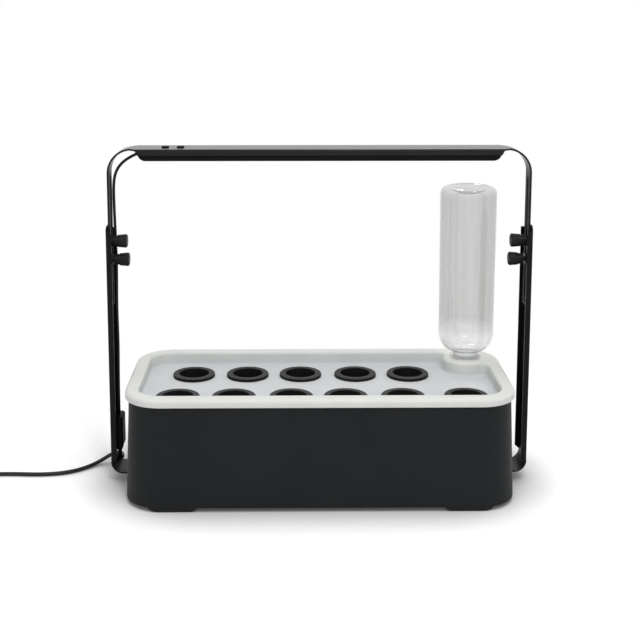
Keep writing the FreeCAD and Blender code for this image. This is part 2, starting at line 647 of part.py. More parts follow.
def boat_profile(depth, inset, z0, z1):
    """Block with the lamp's boat-shaped front view: slanted ends that curve into the underside."""
    slant = (HOUSING_TOP_HALF_LENGTH - LIP_HALF_LENGTH) / (COVER_UNDER_Z - LIP_BOTTOM_Z)
    bottom = HOUSING_BOTTOM_Z
    corner_x = LIP_HALF_LENGTH - slant * (LIP_BOTTOM_Z - bottom)
    points = [
        V(-HOUSING_TOP_HALF_LENGTH, -depth / 2, COVER_UNDER_Z),
        V(HOUSING_TOP_HALF_LENGTH, -depth / 2, COVER_UNDER_Z),
        V(corner_x, -depth / 2, bottom),
        V(-corner_x, -depth / 2, bottom),
    ]
    block = prism(points, V(0, depth, 0))
    block = block.makeFillet(HOUSING_END_RADIUS, edges_at(block, lambda p: abs(p.z - bottom) < 0.01
                                                          and abs(abs(p.x) - corner_x) < 0.01))
    if inset:
        reach = HOUSING_TOP_HALF_LENGTH - inset
        block = block.common(box(-reach, reach, -depth, depth, z0, z1))
    return block.common(box(-LEG_OUTER_X, LEG_OUTER_X, -depth, depth, z0, z1))


def grommet_axis_point(distance):
    """Point on the cable's line through the housing's end, at a distance outside it."""
    slope = math.radians(CABLE_EXIT_SLOPE)
    exit_point = V(CABLE_EXIT_X, CABLE_SIDE_Y, CABLE_EXIT_Z)
    return exit_point + V(-math.cos(slope), 0, -math.sin(slope)) * distance


def grommet_bar(radius, length):
    """Bar along the cable's line, centred on the housing's end wall."""
    start = grommet_axis_point(-length / 2)
    return cylinder(radius, length, start, grommet_axis_point(1) - grommet_axis_point(0))


def make_lamp_housing():
    """Black lower body: a trough with a window, a rebate for the diffuser, and rails for the boards."""
    flare_z = LIP_BOTTOM_Z - FIT_GAP
    lower = boat_profile(HOUSING_DEPTH, 0, HOUSING_BOTTOM_Z, flare_z)
    lower = lower.makeFillet(HOUSING_EDGE_RADIUS, edges_at(lower, lambda p: abs(p.z - HOUSING_BOTTOM_Z) < 0.01
                                                           and abs(abs(p.y) - HOUSING_DEPTH / 2) < 0.01))
    housing = lower.fuse(boat_profile(HOUSING_NECK_DEPTH, 0, flare_z, COVER_UNDER_Z))
    long = HOUSING_TOP_HALF_LENGTH - HOUSING_END_WALL
    cavity = HOUSING_CAVITY_DEPTH / 2
    housing = housing.cut(box(-long, long, -cavity, cavity, HOUSING_PLATE_Z, COVER_UNDER_Z + 1))
    window = WINDOW_DEPTH / 2
    for side in (-1, 1):
        rail = box(CONTROL_BOARD_X[0], LED_BOARD_X[1], side * (cavity - RAIL_WIDTH), side * cavity,
                   HOUSING_PLATE_Z, RAIL_TOP_Z)
        housing = housing.fuse(rail)
    for x, y in housing_screw_places():
        height = COVER_UNDER_Z - BUSH_HEIGHT - HOUSING_PLATE_Z
        housing = housing.fuse(cylinder(HOUSING_POST_RADIUS, height, V(x, y, HOUSING_PLATE_Z)))
    diffuser_z = HOUSING_PLATE_Z - DIFFUSER_THICKNESS
    for step, z in ((REBATE_STEP, diffuser_z), (0, 0)):
        long = WINDOW_HALF_LENGTH + step
        housing = housing.cut(box(-long, long, -window - step, window + step, z, HOUSING_PLATE_Z))
    for x, y in housing_screw_places():
        bush_space = cylinder(BUSH_RADIUS + FIT_GAP, BUSH_HEIGHT + 1, V(x, y, COVER_UNDER_Z - BUSH_HEIGHT))
        base = V(x, y, HOUSING_BOTTOM_Z)
        shank = cylinder(HOUSING_SCREW_RADIUS + FIT_GAP, BRIDGE_TOP_Z - HOUSING_BOTTOM_Z, base)
        head = cylinder(HOUSING_SCREW_HEAD_RADIUS + FIT_GAP, HOUSING_SCREW_HEAD, base)
        housing = housing.cut(bush_space).cut(shank).cut(head)
    housing = housing.cut(grommet_bar(GROMMET_RADIUS, 3 * GROMMET_LENGTH))
    save("lamp_housing", housing.removeSplitter())


def make_housing_screws():
    """Four small screws from under the housing into the cover's bushes."""
    screws = []
    length = COVER_UNDER_Z - HOUSING_BOTTOM_Z - HOUSING_SCREW_HEAD
    for x, y in housing_screw_places():
        head = cylinder(HOUSING_SCREW_HEAD_RADIUS, HOUSING_SCREW_HEAD, V(x, y, HOUSING_BOTTOM_Z))
        shank = cylinder(HOUSING_SCREW_RADIUS, length, V(x, y, HOUSING_BOTTOM_Z + HOUSING_SCREW_HEAD))
        screws.append(head.fuse(shank).removeSplitter())
    save("housing_screws", screws)


def make_lamp_inside():
    """Diffuser, boards, light chips and switches, each resting on the housing or its board."""
    long = WINDOW_HALF_LENGTH + REBATE_STEP - FIT_GAP
    wide = WINDOW_DEPTH / 2 + REBATE_STEP - FIT_GAP
    save("diffuser", box(-long, long, -wide, wide, HOUSING_PLATE_Z - DIFFUSER_THICKNESS, HOUSING_PLATE_Z))
    half = HOUSING_CAVITY_DEPTH / 2 - FIT_GAP
    led_top = RAIL_TOP_Z + LED_BOARD_THICKNESS
    save("led_board", box(LED_BOARD_X[0], LED_BOARD_X[1], -half, half, RAIL_TOP_Z, led_top))
    centre = (LED_BOARD_X[0] + LED_BOARD_X[1]) / 2
    chips = []
    for column in range(LED_COLUMNS):
        x = centre + (column - (LED_COLUMNS - 1) / 2) * LED_PITCH
        for y in (-LED_ROW_OFFSET, LED_ROW_OFFSET):
            chip = box(x - LED_SIZE / 2, x + LED_SIZE / 2, y - LED_SIZE / 2, y + LED_SIZE / 2,
                       RAIL_TOP_Z - LED_HEIGHT, RAIL_TOP_Z)
            chips.append(chip)
    save("led_chips", chips)
    board_top = RAIL_TOP_Z + CONTROL_BOARD_THICKNESS
    save("control_board", box(CONTROL_BOARD_X[0], CONTROL_BOARD_X[1], -half, half, RAIL_TOP_Z, board_top))
    switches = []
    switch_top = COVER_UNDER_Z - BUTTON_FLANGE - BUTTON_TRAVEL - SWITCH_GAP
    for x in button_places().values():
        switches.append(button_block(x, SWITCH_SIZE, board_top, switch_top, BUTTON_ROUND))
    save("tact_switches", switches)


def make_buttons():
    """Push buttons: a cap through the cover and a flange that keeps it in."""
    for name, x in button_places().items():
        cap = button_block(x, BUTTON_SIZE, COVER_UNDER_Z, BRIDGE_TOP_Z + BUTTON_PROUD, BUTTON_ROUND)
        top = BRIDGE_TOP_Z + BUTTON_PROUD
        cap = cap.makeFillet(BUTTON_EDGE_ROUND, edges_at(cap, lambda p: abs(p.z - top) < 0.01))
        flange_size = BUTTON_SIZE + 2 * BUTTON_FLANGE_RIM
        flange = button_block(x, flange_size, COVER_UNDER_Z - BUTTON_FLANGE, COVER_UNDER_Z, BUTTON_ROUND)
        save(name, cap.fuse(flange).removeSplitter())


def make_clamp_studs():
    """Four studs pressed flush into the webs, two on each leg."""
    studs = []
    for z in STUD_HEIGHTS.values():
        seat = cylinder(STUD_SEAT_RADIUS, STAND_SHEET, V(-LEG_OUTER_X, 0, z), X_AXIS)
        stud = cylinder(STUD_RADIUS, STUD_LENGTH, V(-LEG_OUTER_X, 0, z), X_AXIS)
        studs += both_ends(seat.fuse(stud).removeSplitter())
    save("clamp_studs", studs)


def make_clamp_washers():
    """Four plain washers against the straps."""
    washers = []
    for z in STUD_HEIGHTS.values():
        base = V(-BRIDGE_INNER_X + BRIDGE_SLIDE_GAP, 0, z)
        disc = cylinder(WASHER_RADIUS, WASHER_THICKNESS, base, X_AXIS)
        bore = cylinder(STUD_RADIUS + WASHER_BORE_CLEARANCE, WASHER_THICKNESS, base, X_AXIS)
        washers += both_ends(disc.cut(bore))
    save("clamp_washers", washers)


def thumb_nut(z, loosened):
    """Left thumb nut: a collar, a flaring head with grip grooves and a chamfered face, and a blind bore."""
    start = -BRIDGE_INNER_X + BRIDGE_SLIDE_GAP + WASHER_THICKNESS + NUT_GAP + loosened
    head_start = start + NUT_COLLAR
    head_end = head_start + NUT_HEAD
    small = NUT_HEAD_RADIUS - NUT_HEAD_TAPER
    profile = [
        V(start, 0, z), V(start, 0, z + NUT_COLLAR_RADIUS), V(head_start, 0, z + NUT_COLLAR_RADIUS),
        V(head_start, 0, z + small), V(head_end - NUT_CHAMFER, 0, z + NUT_HEAD_RADIUS),
        V(head_end, 0, z + NUT_HEAD_RADIUS - NUT_CHAMFER), V(head_end, 0, z),
    ]
    nut = Part.Face(Part.makePolygon(profile + [profile[0]])).revolve(V(0, 0, z), X_AXIS, 360)
    centre_radius = NUT_HEAD_RADIUS + NUT_GROOVE_RADIUS - NUT_GROOVE_DEPTH
    for k in range(NUT_GROOVES):
        angle = 2 * math.pi * k / NUT_GROOVES
        base = V(head_start - 1, centre_radius * math.sin(angle), z + centre_radius * math.cos(angle))
        nut = nut.cut(cylinder(NUT_GROOVE_RADIUS, NUT_HEAD + 2, base, X_AXIS))
    return nut.cut(cylinder(STUD_RADIUS + STUD_CLEARANCE, NUT_BORE_DEPTH, V(start, 0, z), X_AXIS))


def make_thumb_nuts():
    """Four thumb nuts; the lower ones stand a little further off their straps."""
    for level, z in STUD_HEIGHTS.items():
        loosened = LOWER_NUT_LOOSE if level == "lower" else 0
        for side, shape in zip(("left", "right"), both_ends(thumb_nut(z, loosened))):
            save("thumb_nut_%s_%s" % (side, level), shape)


def make_growing_tray():
    """White tray: a thick rim over the tub's wall, a recessed floor with cup holes and a bottle boss."""
    rim_bottom = TUB_TOP_Z - RIM_DROP
    rim = rounded_prism(RIM_WIDTH, RIM_DEPTH, RIM_CORNER, rim_bottom, RIM_TOP_Z)
    rim = rim.makeFillet(RIM_TOP_ROUND, edges_at(rim, lambda p: abs(p.z - RIM_TOP_Z) < 0.01))
    rim = rim.makeFillet(RIM_BOTTOM_ROUND, edges_at(rim, lambda p: abs(p.z - rim_bottom) < 0.01))
    shell_size = (RECESS_WIDTH + 2 * TRAY_WALL, RECESS_DEPTH + 2 * TRAY_WALL, RECESS_CORNER + TRAY_WALL)
    tray = rim.fuse(rounded_prism(*shell_size, TRAY_UNDER_Z, RIM_TOP_Z - RIM_TOP_ROUND))
    recess = rounded_prism(RECESS_WIDTH, RECESS_DEPTH, RECESS_CORNER, TRAY_FLOOR_Z, RIM_TOP_Z)
    boss_height = RIM_TOP_Z - TRAY_FLOOR_Z
    recess = recess.cut(cylinder(BOSS_RADIUS, boss_height, V(BOSS_X, BOSS_Y, TRAY_FLOOR_Z)))
    recess = max(recess.Solids, key=lambda solid: solid.Volume)
    near_boss = lambda p: abs(math.hypot(p.x - BOSS_X, p.y - BOSS_Y) - BOSS_RADIUS) < 0.01
    uprights = [e for e in edges_at(recess, near_boss) if e.BoundBox.ZLength > boss_height / 2]
    recess = recess.makeFillet(BOSS_BLEND, uprights)
    recess = recess.makeFillet(RECESS_FLOOR_ROUND, edges_at(recess, lambda p: abs(p.z - TRAY_FLOOR_Z) < 0.01))
    tray = tray.cut(recess)
    inside_rim = lambda p: (abs(p.z - RIM_TOP_Z) < 0.01 and abs(p.x) < RECESS_WIDTH / 2 + 0.1
                            and abs(p.y) < RECESS_DEPTH / 2 + 0.1)
    tray = tray.makeFillet(RECESS_TOP_ROUND, edges_at(tray, inside_rim))
    wall_inner = (TUB_TOP_WIDTH - 2 * TUB_WALL - 2 * GROOVE_CLEARANCE,
                  TUB_TOP_DEPTH - 2 * TUB_WALL - 2 * GROOVE_CLEARANCE,
                  TUB_TOP_CORNER - TUB_WALL - GROOVE_CLEARANCE)
    core = rounded_prism(*wall_inner, rim_bottom - 1, RIM_TOP_Z - TRAY_WALL)
    tray = tray.cut(core.cut(rounded_prism(*shell_size, rim_bottom - 1, RIM_TOP_Z)))
    wall_outer = (TUB_TOP_WIDTH + 2 * GROOVE_CLEARANCE, TUB_TOP_DEPTH + 2 * GROOVE_CLEARANCE,
                  TUB_TOP_CORNER + GROOVE_CLEARANCE)
    groove = rounded_prism(*wall_outer, rim_bottom - 1, TUB_TOP_Z)
    tray = tray.cut(groove.cut(rounded_prism(*wall_inner, rim_bottom - 1, RIM_TOP_Z)))
    void_height = RIM_TOP_Z - TRAY_WALL - TRAY_UNDER_Z
    tray = tray.cut(cylinder(BOSS_RADIUS - TRAY_WALL, void_height, V(BOSS_X, BOSS_Y, TRAY_UNDER_Z)))
    tube_base = V(BOSS_X, BOSS_Y, SOCKET_BOTTOM_Z)
    tube_radius = SOCKET_RADIUS + SOCKET_WALL
    tray = tray.fuse(cylinder(tube_radius, RIM_TOP_Z - TRAY_WALL / 2 - SOCKET_BOTTOM_Z, tube_base))
    tray = tray.cut(cylinder(SOCKET_RADIUS, RIM_TOP_Z - SOCKET_BOTTOM_Z, tube_base))
    for k in range(SOCKET_SLOTS // 2):
        slot = box(-2 * tube_radius, 2 * tube_radius, -SOCKET_SLOT_WIDTH / 2, SOCKET_SLOT_WIDTH / 2,
                   SOCKET_BOTTOM_Z, SOCKET_BOTTOM_Z + SOCKET_SLOT_HEIGHT)
        slot.rotate(ORIGIN, Z_AXIS, 45 + 360 / SOCKET_SLOTS * k)
        slot.translate(V(BOSS_X, BOSS_Y, 0))
        tray = tray.cut(slot)
    for x, y in cup_places():
        tray = tray.cut(cylinder(CUP_HOLE_RADIUS, 2 * TRAY_WALL, V(x, y, TRAY_UNDER_Z - TRAY_WALL / 2)))
    save("growing_tray", tray.removeSplitter())


def cup_places():
    """Centres of the cups, back row first."""
    places = []
    rows = ((BACK_ROW_Y, BACK_ROW_START, BACK_ROW_GAPS), (FRONT_ROW_Y, FRONT_ROW_START, FRONT_ROW_GAPS))
    for y, start, gaps in rows:
        x = start - RECESS_WIDTH / 2
        places.append((x, y))
        for gap in gaps:
            x += gap
            places.append((x, y))
    return places


def cup_at_origin():
    """Grow cup: a flange over a tapered basket with slotted sides and a drain hole."""
    bottom = -CUP_DEPTH
    flange_under = -CUP_FLANGE
    profile = [
        V(0, 0, bottom), V(CUP_BOTTOM_BORE_RADIUS + CUP_WALL, 0, bottom),
        V(CUP_OUTER_RADIUS, 0, flange_under), V(CUP_FLANGE_RADIUS, 0, flange_under),
        V(CUP_FLANGE_RADIUS, 0, 0), V(CUP_BORE_RADIUS, 0, 0),
        V(CUP_BOTTOM_BORE_RADIUS, 0, bottom + CUP_WALL), V(0, 0, bottom + CUP_WALL),
    ]
    cup = Part.Face(Part.makePolygon(profile + [profile[0]])).revolve(ORIGIN, Z_AXIS, 360)
    cup = cup.makeFillet(CUP_FLANGE_ROUND, edges_at(cup, lambda p: abs(p.z) < 0.01
                                                    and abs(math.hypot(p.x, p.y) - CUP_FLANGE_RADIUS) < 0.01))
    for k in range(CUP_SLOTS):
        slot = box(CUP_BOTTOM_BORE_RADIUS / 2, CUP_FLANGE_RADIUS, -CUP_SLOT_WIDTH / 2, CUP_SLOT_WIDTH / 2,
                   bottom + CUP_SLOT_BOTTOM, -CUP_SLOT_TOP)
        slot.rotate(ORIGIN, Z_AXIS, 360 / CUP_SLOTS * k)
        cup = cup.cut(slot)
    return cup.cut(cylinder(CUP_DRAIN_RADIUS, 2 * CUP_WALL, V(0, 0, bottom - CUP_WALL / 2)))


def make_grow_cups():
    """Eleven equal cups, five behind and six in front."""
    cup = cup_at_origin()
    for number, (x, y) in enumerate(cup_places(), start=1):
        shape = cup.copy()
        shape.translate(V(x, y, CUP_TOP_Z))
        save("grow_cup_%d" % number, shape)


def tangent_arc(neck, foot):
    """Arc from the neck that meets the body's wall upright at the foot point."""
    across = foot.x - neck.x
    rise = foot.z - neck.z
    radius = (across * across + rise * rise) / (2 * across)
    half_turn = math.asin(rise / radius) / 2
    middle = V(foot.x - radius + radius * math.cos(half_turn), 0, foot.z - radius * math.sin(half_turn))
    return Part.Arc(neck, middle, foot).toShape()


def dish_arc(edge, axis):
    """Arc from an edge point down to the axis, level where it meets the axis."""
    drop = edge.z - axis.z
    radius = (edge.x * edge.x + drop * drop) / (2 * drop)
    half_turn = math.asin(edge.x / radius) / 2
    middle = V(radius * math.sin(half_turn), 0, axis.z + radius - radius * math.cos(half_turn))
    return Part.Arc(edge, middle, axis).toShape()


def bottle_outline(inset):
    """Half section of the bottle above its support ring, drawn in by an inset, from neck to axis."""
    radius = BOTTLE_RADIUS - inset
    top = BOTTLE_TOP_Z - inset
    neck_z = RIM_TOP_Z + SUPPORT_RING + NECK_ABOVE_RING
    neck = V(NECK_BASE_RADIUS - inset, 0, neck_z + inset)
    foot = V(SHOULDER_RADIUS - inset, 0, neck_z + SHOULDER_HEIGHT)
    base_round = BOTTLE_BASE_ROUND - inset
    corner = base_round * math.sqrt(0.5)
    wall_top = V(radius, 0, top - base_round)
    ring = V(radius - base_round, 0, top)
    punt_edge = V(PUNT_RADIUS, 0, top - PUNT_EDGE_DROP)
    axis = V(0, 0, top - PUNT_DEPTH)
    edges = [
        tangent_arc(neck, foot),
        Part.LineSegment(foot, wall_top).toShape(),
        Part.Arc(wall_top, V(radius - base_round + corner, 0, top - base_round + corner), ring).toShape(),
        Part.LineSegment(ring, punt_edge).toShape(),
        dish_arc(punt_edge, axis),
    ]
    return edges, neck, axis


def make_bottle():
    """Thin-walled bottle with a neck finish, support ring, shoulder and dished base."""
    outer, neck_out, axis_out = bottle_outline(0)
    inner, neck_in, axis_in = bottle_outline(BOTTLE_WALL)
    ring_top = RIM_TOP_Z + SUPPORT_RING
    outside = [
        V(NECK_BORE_RADIUS, 0, MOUTH_Z), V(NECK_RADIUS, 0, MOUTH_Z), V(NECK_RADIUS, 0, RIM_TOP_Z),
        V(SUPPORT_RING_RADIUS, 0, RIM_TOP_Z), V(SUPPORT_RING_RADIUS, 0, ring_top),
        V(NECK_BASE_RADIUS, 0, ring_top), neck_out,
    ]
    inside = [
        neck_in, V(neck_in.x, 0, ring_top + BOTTLE_WALL),
        V(NECK_BORE_RADIUS, 0, ring_top - SUPPORT_RING / 2), outside[0],
    ]
    edges = outer + [Part.LineSegment(axis_out, axis_in).toShape()] + inner
    for chain in (outside, inside):
        edges += [Part.LineSegment(a, b).toShape() for a, b in zip(chain, chain[1:])]
    bottle = Part.Face(Part.Wire(Part.sortEdges(edges)[0])).revolve(ORIGIN, Z_AXIS, 360)
    for k in (1, 2):
        base = V(0, 0, MOUTH_Z + k * THREAD_PITCH)
        ridge = cylinder(THREAD_RADIUS, THREAD_HEIGHT, base)
        bottle = bottle.fuse(ridge.cut(cylinder((NECK_RADIUS + NECK_BORE_RADIUS) / 2, THREAD_HEIGHT, base)))
    bottle = bottle.removeSplitter()
    bottle.translate(V(BOSS_X, BOSS_Y, 0))
    save("bottle", bottle)


def make_bottle_cap():
    """Screw cap with a flow hole, and the ring that seals it on the mouth."""
    axis = V(BOSS_X, BOSS_Y, 0)
    cap = cylinder(CAP_RADIUS, CAP_HEIGHT, axis + V(0, 0, CAP_Z))
    cap = cap.cut(cylinder(THREAD_RADIUS + CAP_CLEARANCE, CAP_HEIGHT, axis + V(0, 0, CAP_Z + CAP_PLATE)))
    save("bottle_cap", cap.cut(cylinder(CAP_HOLE_RADIUS, CAP_PLATE, axis + V(0, 0, CAP_Z))))
    seal = cylinder(SEAL_RADIUS, SEAL_THICKNESS, axis + V(0, 0, MOUTH_Z - SEAL_THICKNESS))
    bore = cylinder(CAP_HOLE_RADIUS, SEAL_THICKNESS, axis + V(0, 0, MOUTH_Z - SEAL_THICKNESS))
    save("cap_seal", seal.cut(bore))


def socket_screw_places():
    """Centres of the screws that hold the socket box."""
    return [(SOCKET_BOX_Y + side * SOCKET_SCREW_OFFSET, SOCKET_SCREW_Z) for side in (-1, 1)]


def socket_screw_shapes(clearance):
    """Countersunk screws through the left web, or their holes where a clearance is given."""
    screws = []
    for y, z in socket_screw_places():
        radius = SOCKET_SCREW_RADIUS + clearance
        outside = V(-LEG_OUTER_X, y, z)
        cone = Part.makeCone(SOCKET_SCREW_HEAD_RADIUS, radius, SOCKET_SCREW_HEAD, outside, X_AXIS)
        shank = cylinder(radius, SOCKET_SCREW_DEPTH, V(-LEG_OUTER_X + SOCKET_SCREW_HEAD, y, z), X_AXIS)
        screws.append(cone.fuse(shank).removeSplitter())
    return screws


def make_socket_box():
    """Socket box, open at the back against the web, with two screw posts; its jack; its screws."""
    z0, z1 = SOCKET_BOX_Z
    half = SOCKET_BOX_WIDTH / 2
    front_x = -WEB_INNER_X + SOCKET_BOX_DEPTH
    shell = box(-WEB_INNER_X, front_x, SOCKET_BOX_Y - half, SOCKET_BOX_Y + half, z0, z1)
    shell = shell.makeChamfer(SOCKET_BOX_CHAMFER, edges_at(shell, lambda p: abs(p.x - front_x) < 0.01))
    wall = SOCKET_BOX_WALL
    inner_x = front_x - wall
    shell = shell.cut(box(-WEB_INNER_X, inner_x, SOCKET_BOX_Y - half + wall, SOCKET_BOX_Y + half - wall,
                          z0 + wall, z1 - wall))
    feet = [V(-WEB_INNER_X, y, z) for y, z in socket_screw_places()]
    for foot in feet:
        shell = shell.fuse(cylinder(SOCKET_POST_RADIUS, SOCKET_BOX_DEPTH - wall, foot, X_AXIS))
    for foot in feet:
        pilot = cylinder(SOCKET_SCREW_RADIUS + PILOT_CLEARANCE, SOCKET_SCREW_DEPTH, foot, X_AXIS)
        shell = shell.cut(pilot)
    plug_hole = cylinder(JACK_BORE_RADIUS, 2 * wall, V(PLUG_X, SOCKET_BOX_Y, z0 - wall / 2))
    save("socket_box", shell.cut(plug_hole).removeSplitter())
    jack_depth = 2 * (inner_x - PLUG_X)
    jack = box(inner_x - jack_depth, inner_x, SOCKET_BOX_Y - JACK_WIDTH / 2, SOCKET_BOX_Y + JACK_WIDTH / 2,
               z0 + wall, z0 + wall + JACK_HEIGHT)
    bore = cylinder(JACK_BORE_RADIUS, JACK_HEIGHT - wall, V(PLUG_X, SOCKET_BOX_Y, z0 + wall))
    save("dc_jack", jack.cut(bore))
    save("socket_screws", socket_screw_shapes(0))


def make_dc_plug():
    """Barrel plug with a short grip and a tapering strain relief that points down."""
    z0 = SOCKET_BOX_Z[0]
    axis = V(PLUG_X, SOCKET_BOX_Y, z0)
    barrel = cylinder(PLUG_BARREL_RADIUS, PLUG_BARREL, axis)
    grip = cylinder(PLUG_GRIP_RADIUS, PLUG_GRIP, axis - V(0, 0, PLUG_GRIP))
    end = axis - V(0, 0, PLUG_GRIP + PLUG_RELIEF)
    relief = Part.makeCone(CORD_RADIUS, PLUG_GRIP_RADIUS, PLUG_RELIEF, end)
    save("dc_plug", barrel.fuse(grip).fuse(relief).removeSplitter())


def arc_edge(start, corner, end):
    """Arc from start to end that is tangent to both legs of an equal-sided corner."""
    middle = (start + end) * 0.5
    half_chord = (end - start).Length / 2
    towards = corner - middle
    sag = half_chord * math.tan(math.atan2(towards.Length, half_chord) / 2)
    return Part.Arc(start, middle + towards * (sag / towards.Length), end).toShape()


def routed_path(points, name):
    """Straight runs joined by tangent arcs, each as large as its two runs allow."""
    edges = []
    last = points[0]
    radii = []
    for before, corner, after in zip(points, points[1:], points[2:]):
        back = before - corner
        ahead = after - corner
        reach = 0.45 * min(back.Length, ahead.Length)
        turn = math.pi - back.getAngle(ahead)
        radii.append(reach / math.tan(turn / 2))
        start = corner + back * (reach / back.Length)
        end = corner + ahead * (reach / ahead.Length)
        edges.append(Part.LineSegment(last, start).toShape())
        edges.append(arc_edge(start, corner, end))
        last = end
    edges.append(Part.LineSegment(last, points[-1]).toShape())
    print(name, "radii", " ".join("%.0f" % r for r in radii))
    return Part.Wire(edges)


def tube(path, start, direction, radius, name):
    """Round tube along a path; prints its volume beside section times length."""
    profile = Part.Wire(Part.makeCircle(radius, start, direction))
    solid = path.makePipeShell([profile], True, False)
    print(name, "length %.1f volume %.1f expected %.1f"
          % (path.Length, solid.Volume, math.pi * radius ** 2 * path.Length))
    return solid


def make_lamp_cable():
    """Cable from the control board through the housing's end and down inside the left leg."""
    board_top = RAIL_TOP_Z + CONTROL_BOARD_THICKNESS
    start = V(CONTROL_BOARD_LEFT + CABLE_START_INSET, CABLE_SIDE_Y, board_top + CABLE_RADIUS + CABLE_REST)
    end = V(PLUG_X, SOCKET_BOX_Y, SOCKET_BOX_Z[1])
    points = [
        start, grommet_axis_point(-CABLE_RUN_IN), grommet_axis_point(CABLE_RUN_OUT),
        V(-209.8, 7.8, 343.3), V(-215.6, 9.2, 334.0), V(-217.9, 10.3, 322.0), V(-218.0, 10.7, 302.0),
        V(-217.3, 11.0, 270.0), V(-216.6, 10.6, 232.0), V(-217.4, 9.0, 190.0), V(-216.3, 6.4, 148.0),
        V(PLUG_X, SOCKET_BOX_Y, 108.0), end,
    ]
    path = routed_path(points, "lamp_cable")
    save("lamp_cable", tube(path, start, points[1] - start, CABLE_RADIUS, "lamp_cable"))


def make_power_cord():
    """Free stretch of the cord: down from the plug, round behind the leg and away over the floor."""
    start = V(PLUG_X, SOCKET_BOX_Y, SOCKET_BOX_Z[0] - PLUG_GRIP - PLUG_RELIEF)
    points = [
        start, V(PLUG_X, SOCKET_BOX_Y, 24.4), V(-216.6, 7.6, 19.4), V(-215.6, 15.4, 17.2),
        V(-218.6, 27.4, 16.8), V(-229.0, 36.0, 13.0),
        V(-243.5, 35.0, 3.6), V(-255.5, 21.6, CORD_FLOOR_Z), V(-269.0, 10.0, CORD_FLOOR_Z),
        V(-286.0, 3.2, CORD_FLOOR_Z), V(-308.0, 1.2, CORD_FLOOR_Z), V(-335.0, 3.4, CORD_FLOOR_Z),
        V(-364.0, COIL_Y, CORD_FLOOR_Z), V(COIL_START_X, COIL_Y, CORD_FLOOR_Z),
    ]
    path = routed_path(points, "power_cord")
    save("power_cord", tube(path, start, points[1] - start, CORD_RADIUS, "power_cord"))


def biarc(p0, t0, p1, t1):
    """Two tangent arcs from one point and direction to another."""
    chord = p1 - p0
    along = t0 + t1
    a = 2 * (t0.dot(t1) - 1)
    b = -2 * chord.dot(along)
    c = chord.dot(chord)
    if abs(a) < 1e-9:
        return [Part.LineSegment(p0, p1).toShape()]
    reach = (-b - math.sqrt(b * b - 4 * a * c)) / (2 * a)
    corner0 = p0 + t0 * reach
    corner1 = p1 - t1 * reach
    joint = (corner0 + corner1) * 0.5
    return [arc_edge(p0, corner0, joint), arc_edge(joint, corner1, p1)]


def coil_radius(halves):
    """Radius after a number of half turns: steadily in, and steadily out again from the middle."""
    total = 4 * COIL_TURNS + 1
    return COIL_OUTER_RADIUS - COIL_PITCH * min(halves, total - halves) / 2


def coil_point(halves):
    """Point of the cord in the coil after a number of half turns, clockwise from the front."""
    radius = coil_radius(halves)
    angle = -math.pi / 2 - math.pi * halves
    climb = min(1, max(0, halves - 2 * COIL_TURNS))
    height = COIL_LAYER * climb * climb * (3 - 2 * climb)
    centre = V(COIL_START_X - 2 * CORD_RADIUS, COIL_Y + COIL_OUTER_RADIUS, CORD_FLOOR_Z)
    return centre + V(radius * math.cos(angle), radius * math.sin(angle), height)


def unit(vector):
    """The vector at length one."""
    return vector * (1 / vector.Length)


def coil_stations():
    """Half turns at which the coil's arcs meet: every half turn, and every quarter in the climb."""
    inward = 2 * COIL_TURNS
    lower = [float(k) for k in range(inward)]
    climb = [inward + k / 4 for k in range(5)]
    upper = [float(k) for k in range(inward + 2, 2 * inward + 1)]
    return lower + climb + upper + [2 * inward + 0.5]


def make_cord_coil():
    """The put-away rest of the cord: loops in two layers, one unbroken tube."""
    stations = coil_stations()
    step = 1e-4
    points = [coil_point(s) for s in stations]
    tangents = [unit(coil_point(s + step) - coil_point(s - step)) for s in stations]
    tangents[0] = V(-1, 0, 0)
    tangents[-1] = V(0, 1, 0)
    straight = 2 * CORD_RADIUS
    start = points[0] - tangents[0] * straight
    end = points[-1] + tangents[-1] * straight
    edges = [Part.LineSegment(start, points[0]).toShape()]
    for k in range(len(points) - 1):
        edges += biarc(points[k], tangents[k], points[k + 1], tangents[k + 1])
    edges.append(Part.LineSegment(points[-1], end).toShape())
    path = Part.Wire(edges)
    print("cord_coil least gap %.2f" % least_gap(path))
    save("cord_coil", tube(path, start, tangents[0], CORD_RADIUS, "cord_coil"))
    return end


def least_gap(path):
    """Least distance between stretches of the coil that lie over half a turn apart, less the cord."""
    count = 900
    samples = path.discretize(count)
    step = path.Length / (count - 1)
    apart = int(math.pi * coil_radius(2 * COIL_TURNS) / step) + 1
    least = 1e9
    for i in range(0, count, 2):
        for j in range(i + apart, count):
            least = min(least, samples[i].distanceToPoint(samples[j]))
    return least - 2 * CORD_RADIUS


